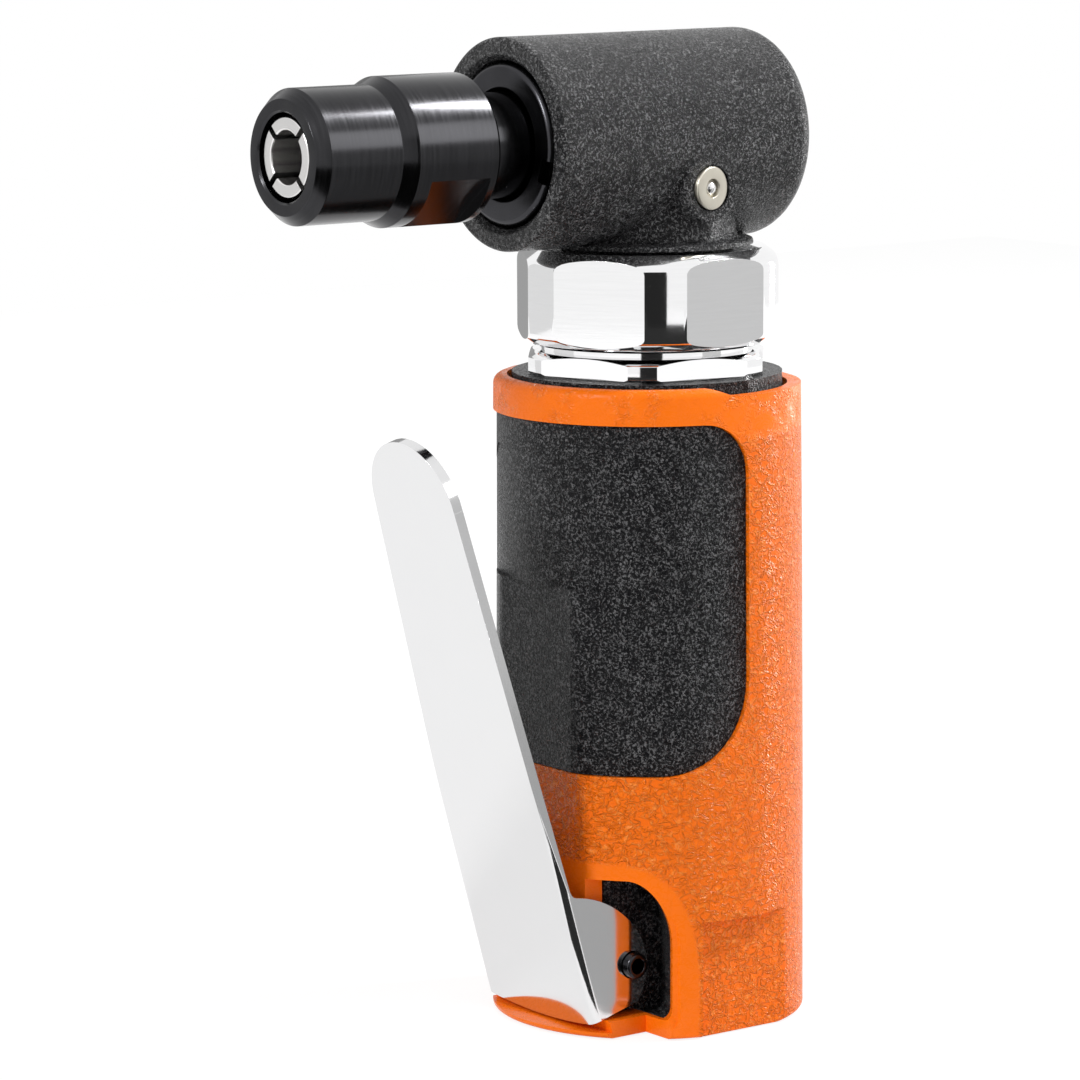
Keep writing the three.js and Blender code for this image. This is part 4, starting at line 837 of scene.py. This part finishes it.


# Valve spring, drawn to fill the CAD spring's box; the real one shortens as the valve opens

def make_spring():
    low, high = (Vector(corner) * 1000 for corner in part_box("valve_spring"))
    turns, steps, sides, wire = 4, 32, 12, 0.45
    coil = (high.z - low.z) / 2 - wire
    centre = (low + high) / 2
    start, run = low.y + wire, high.y - low.y - 2 * wire
    lean = math.atan2(run / turns, 2 * math.pi * coil)
    rings = []
    for i in range(turns * steps + 1):
        angle = 2 * math.pi * i / steps
        out = Vector((math.cos(angle), 0, math.sin(angle)))
        around = Vector((-math.sin(angle), 0, math.cos(angle)))
        side = Vector((0, math.cos(lean), 0)) - around * math.sin(lean)
        middle = Vector((0, start - SHIFT + run * i / (turns * steps), centre.z)) + out * coil
        ring = []
        for j in range(sides):
            t = 2 * math.pi * j / sides
            ring.append(middle + out * wire * math.cos(t) + side * wire * math.sin(t))
        rings.append(ring)
    body = solid("spring_skin", rings)
    finish_piece(body, steel, "handle", ["valve_spring"])
    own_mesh(body)


make_sleeve()
make_panel()
make_lever()
make_pin()
make_coupling()
make_clamp()
make_head()
make_fitting()
make_retainer()
make_spindle()
make_collet()
make_nut()
make_inlet()
make_spring()

# The CAD pieces that still show, and those inside; the rest is plain steel
paint = {
    "motor_housing": housing, "exhaust_deflector": housing, "muffler_pad": felt,
    "valve_bushing": brass, "valve_seat": brass,
    "bushing_seal": seal, "valve_washer": seal, "head_seal": seal,
    "nut_snap_ring": dark_ring, "pinion_bearing_nut": dark_ring,
}
for name, obj in nodes.items():
    material = paint.get(name) or (fibre if name.startswith("rotor_vane") else steel)
    obj.data.materials.clear()
    obj.data.materials.append(material)
    obj.data.shade_smooth()
    obj.data.set_sharp_from_angle(angle=math.radians(30))


# Floor and backdrop, in metres

# The lamps aim at this height
AIM = 0.065


def background(tree, surface, plain):
    """White for what sees the background, and plain light for the rest."""
    path = tree.nodes.new("ShaderNodeLightPath")
    first = tree.nodes.new("ShaderNodeMath")
    first.operation = "MAXIMUM"
    second = tree.nodes.new("ShaderNodeMath")
    second.operation = "MAXIMUM"
    tree.links.new(path.outputs["Is Camera Ray"], first.inputs[0])
    tree.links.new(path.outputs["Is Glossy Ray"], first.inputs[1])
    tree.links.new(first.outputs[0], second.inputs[0])
    tree.links.new(path.outputs["Is Transmission Ray"], second.inputs[1])
    mix = tree.nodes.new("ShaderNodeMixShader")
    tree.links.new(second.outputs[0], mix.inputs[0])
    tree.links.new(plain, mix.inputs[1])
    tree.links.new(surface, mix.inputs[2])
    return mix.outputs[0]


def make_world():
    world = bpy.data.worlds.new("studio")
    bpy.context.scene.world = world
    world.use_nodes = True
    tree = world.node_tree
    output = tree.nodes["World Output"]
    plain = tree.nodes["Background"]
    plain.inputs["Color"].default_value = (1, 1, 1, 1)
    plain.inputs["Strength"].default_value = 0.4
    white = tree.nodes.new("ShaderNodeBackground")
    white.inputs["Color"].default_value = (1, 1, 1, 1)
    white.inputs["Strength"].default_value = 1.0
    tree.links.new(background(tree, white.outputs[0], plain.outputs[0]), output.inputs["Surface"])


def make_floor():
    """A grey floor that glows to nearly white, so that only the soft shadow shows."""
    reach, below = 0.75, 0.0002
    corners = [(-reach, -reach, 0), (reach, -reach, 0), (reach, reach, 0), (-reach, reach, 0)]
    floor = new_object("floor", corners, [(0, 1, 2, 3)])
    material = bpy.data.materials.new("floor")
    material.use_nodes = True
    tree = material.node_tree
    output = tree.nodes["Material Output"]
    plain = tree.nodes["Principled BSDF"]
    plain.inputs["Base Color"].default_value = (0.8, 0.8, 0.8, 1)
    plain.inputs["Roughness"].default_value = 0.9
    shade = tree.nodes.new("ShaderNodeBsdfDiffuse")
    shade.inputs["Color"].default_value = (0.24, 0.24, 0.24, 1)
    glow = tree.nodes.new("ShaderNodeEmission")
    glow.inputs["Strength"].default_value = 0.84
    sum_of_both = tree.nodes.new("ShaderNodeAddShader")
    tree.links.new(shade.outputs[0], sum_of_both.inputs[0])
    tree.links.new(glow.outputs[0], sum_of_both.inputs[1])
    tree.links.new(background(tree, sum_of_both.outputs[0], plain.outputs[0]), output.inputs["Surface"])
    floor.data.materials.append(material)
    floor.location.z = -below


# Light

def softbox(name, azimuth, elevation, away, size, power):
    """A soft light that looks at the object's middle. Azimuth runs from -Y to +X."""
    turn, lift = math.radians(azimuth), math.radians(elevation)
    toward = Vector((math.sin(turn) * math.cos(lift), -math.cos(turn) * math.cos(lift), math.sin(lift)))
    place = toward * away
    place.z += AIM
    light = bpy.data.lights.new(name, "AREA")
    light.shape = "RECTANGLE"
    light.size, light.size_y = size
    light.energy = power
    obj = bpy.data.objects.new(name, light)
    bpy.context.scene.collection.objects.link(obj)
    obj.location = place
    obj.rotation_mode = "QUATERNION"
    obj.rotation_quaternion = (Vector((0, 0, AIM)) - place).to_track_quat("-Z", "Y")


def mirror_only(obj, name, tone, place):
    """Makes a plain object into a glowing studio card of one tone that only mirrors see: a painted
    reflection, which casts no shadow and no diffuse light.
    """
    material = bpy.data.materials.new(name)
    material.use_nodes = True
    main = material.node_tree.nodes["Principled BSDF"]
    main.inputs["Base Color"].default_value = (0, 0, 0, 1)
    main.inputs["Specular IOR Level"].default_value = 0.0
    main.inputs["Emission Color"].default_value = (1, 1, 1, 1)
    main.inputs["Emission Strength"].default_value = tone
    obj.data.materials.append(material)
    obj.visible_camera = False
    obj.visible_diffuse = False
    obj.visible_shadow = False
    obj.visible_transmission = False
    obj.location = place


def card(name, azimuth, low, high, width, tone):
    """An upright card that faces the object. Azimuth runs from -Y to +X."""
    turn, away = math.radians(azimuth), 0.46
    obj = new_object(name, [(-0.5, 0, -0.5), (0.5, 0, -0.5), (0.5, 0, 0.5), (-0.5, 0, 0.5)], [(0, 1, 2, 3)])
    obj.scale = (width, 1, high - low)
    obj.rotation_euler = (0, 0, turn)
    mirror_only(obj, name, tone, (away * math.sin(turn), -away * math.cos(turn), (low + high) / 2))


def floor_card(name, start, end, far, tone):
    """A card on the floor, a fan between two azimuths that begins beside the object's base."""
    near, above, count = 0.0204, 0.0004, 24
    turns = [math.radians(start + (end - start) * k / count) for k in range(count + 1)]
    verts = [(r * math.sin(t), -r * math.cos(t), 0) for t in turns for r in (near, far)]
    faces = [(2 * k, 2 * k + 1, 2 * k + 3, 2 * k + 2) for k in range(count)]
    mirror_only(new_object(name, verts, faces), name, tone, (0, 0, above))


# Camera, as fitted to the photo; its lengths are in millimetres and its focal length in the photo's pixels

def make_camera():
    azimuth, elevation, roll = math.radians(53.32), math.radians(8.94), math.radians(-0.27)
    away, aside, height = 599.11, -13.38, 59.18
    focal, photo, sensor = 4797.62, 1080, 36
    right = Vector((math.cos(azimuth), math.sin(azimuth), 0))
    back = Vector((math.sin(azimuth) * math.cos(elevation), -math.cos(azimuth) * math.cos(elevation),
                   math.sin(elevation)))
    up = back.cross(right)
    aim = right * aside + Vector((0, SHIFT, height))
    place = (aim + back * away) / 1000
    turned = right * math.cos(roll) + up * math.sin(roll)
    upright = up * math.cos(roll) - right * math.sin(roll)
    data = bpy.data.cameras.new("camera")
    data.sensor_width = sensor
    data.lens = focal / photo * sensor
    data.clip_start, data.clip_end = 0.01, 20
    camera = bpy.data.objects.new("camera", data)
    bpy.context.scene.collection.objects.link(camera)
    matrix = Matrix((turned, upright, back)).transposed().to_4x4()
    matrix.translation = place
    camera.matrix_world = matrix
    bpy.context.scene.camera = camera


make_world()
make_floor()
softbox("key", 7, 32, 1.0, (0.18, 0.26), 4.9)
softbox("fill", 128, 22, 1.1, (0.40, 0.60), 2.6)
softbox("rim", 188, 2, 0.9, (0.12, 0.34), 2.0)
softbox("top", 158, 50, 0.9, (0.10, 0.20), 5.6)
# The cards and floor fans are painted reflections: they glow in their tone and show only in mirrors
card("card_camera", 59, -0.05, 0.30, 0.19, 0.02)
card("card_right", 128, -0.1, 0.20, 0.20, 0.62)
card("card_far", -53, -0.05, 0.3, 0.30, 0.78)
card("card_left", -112, -0.05, 0.3, 0.20, 0.35)
floor_card("floor_front", 25, 106, 0.50, 0.03)
floor_card("floor_right", 112, 150, 0.45, 0.45)
make_camera()
bpy.context.scene.view_settings.view_transform = "Standard"
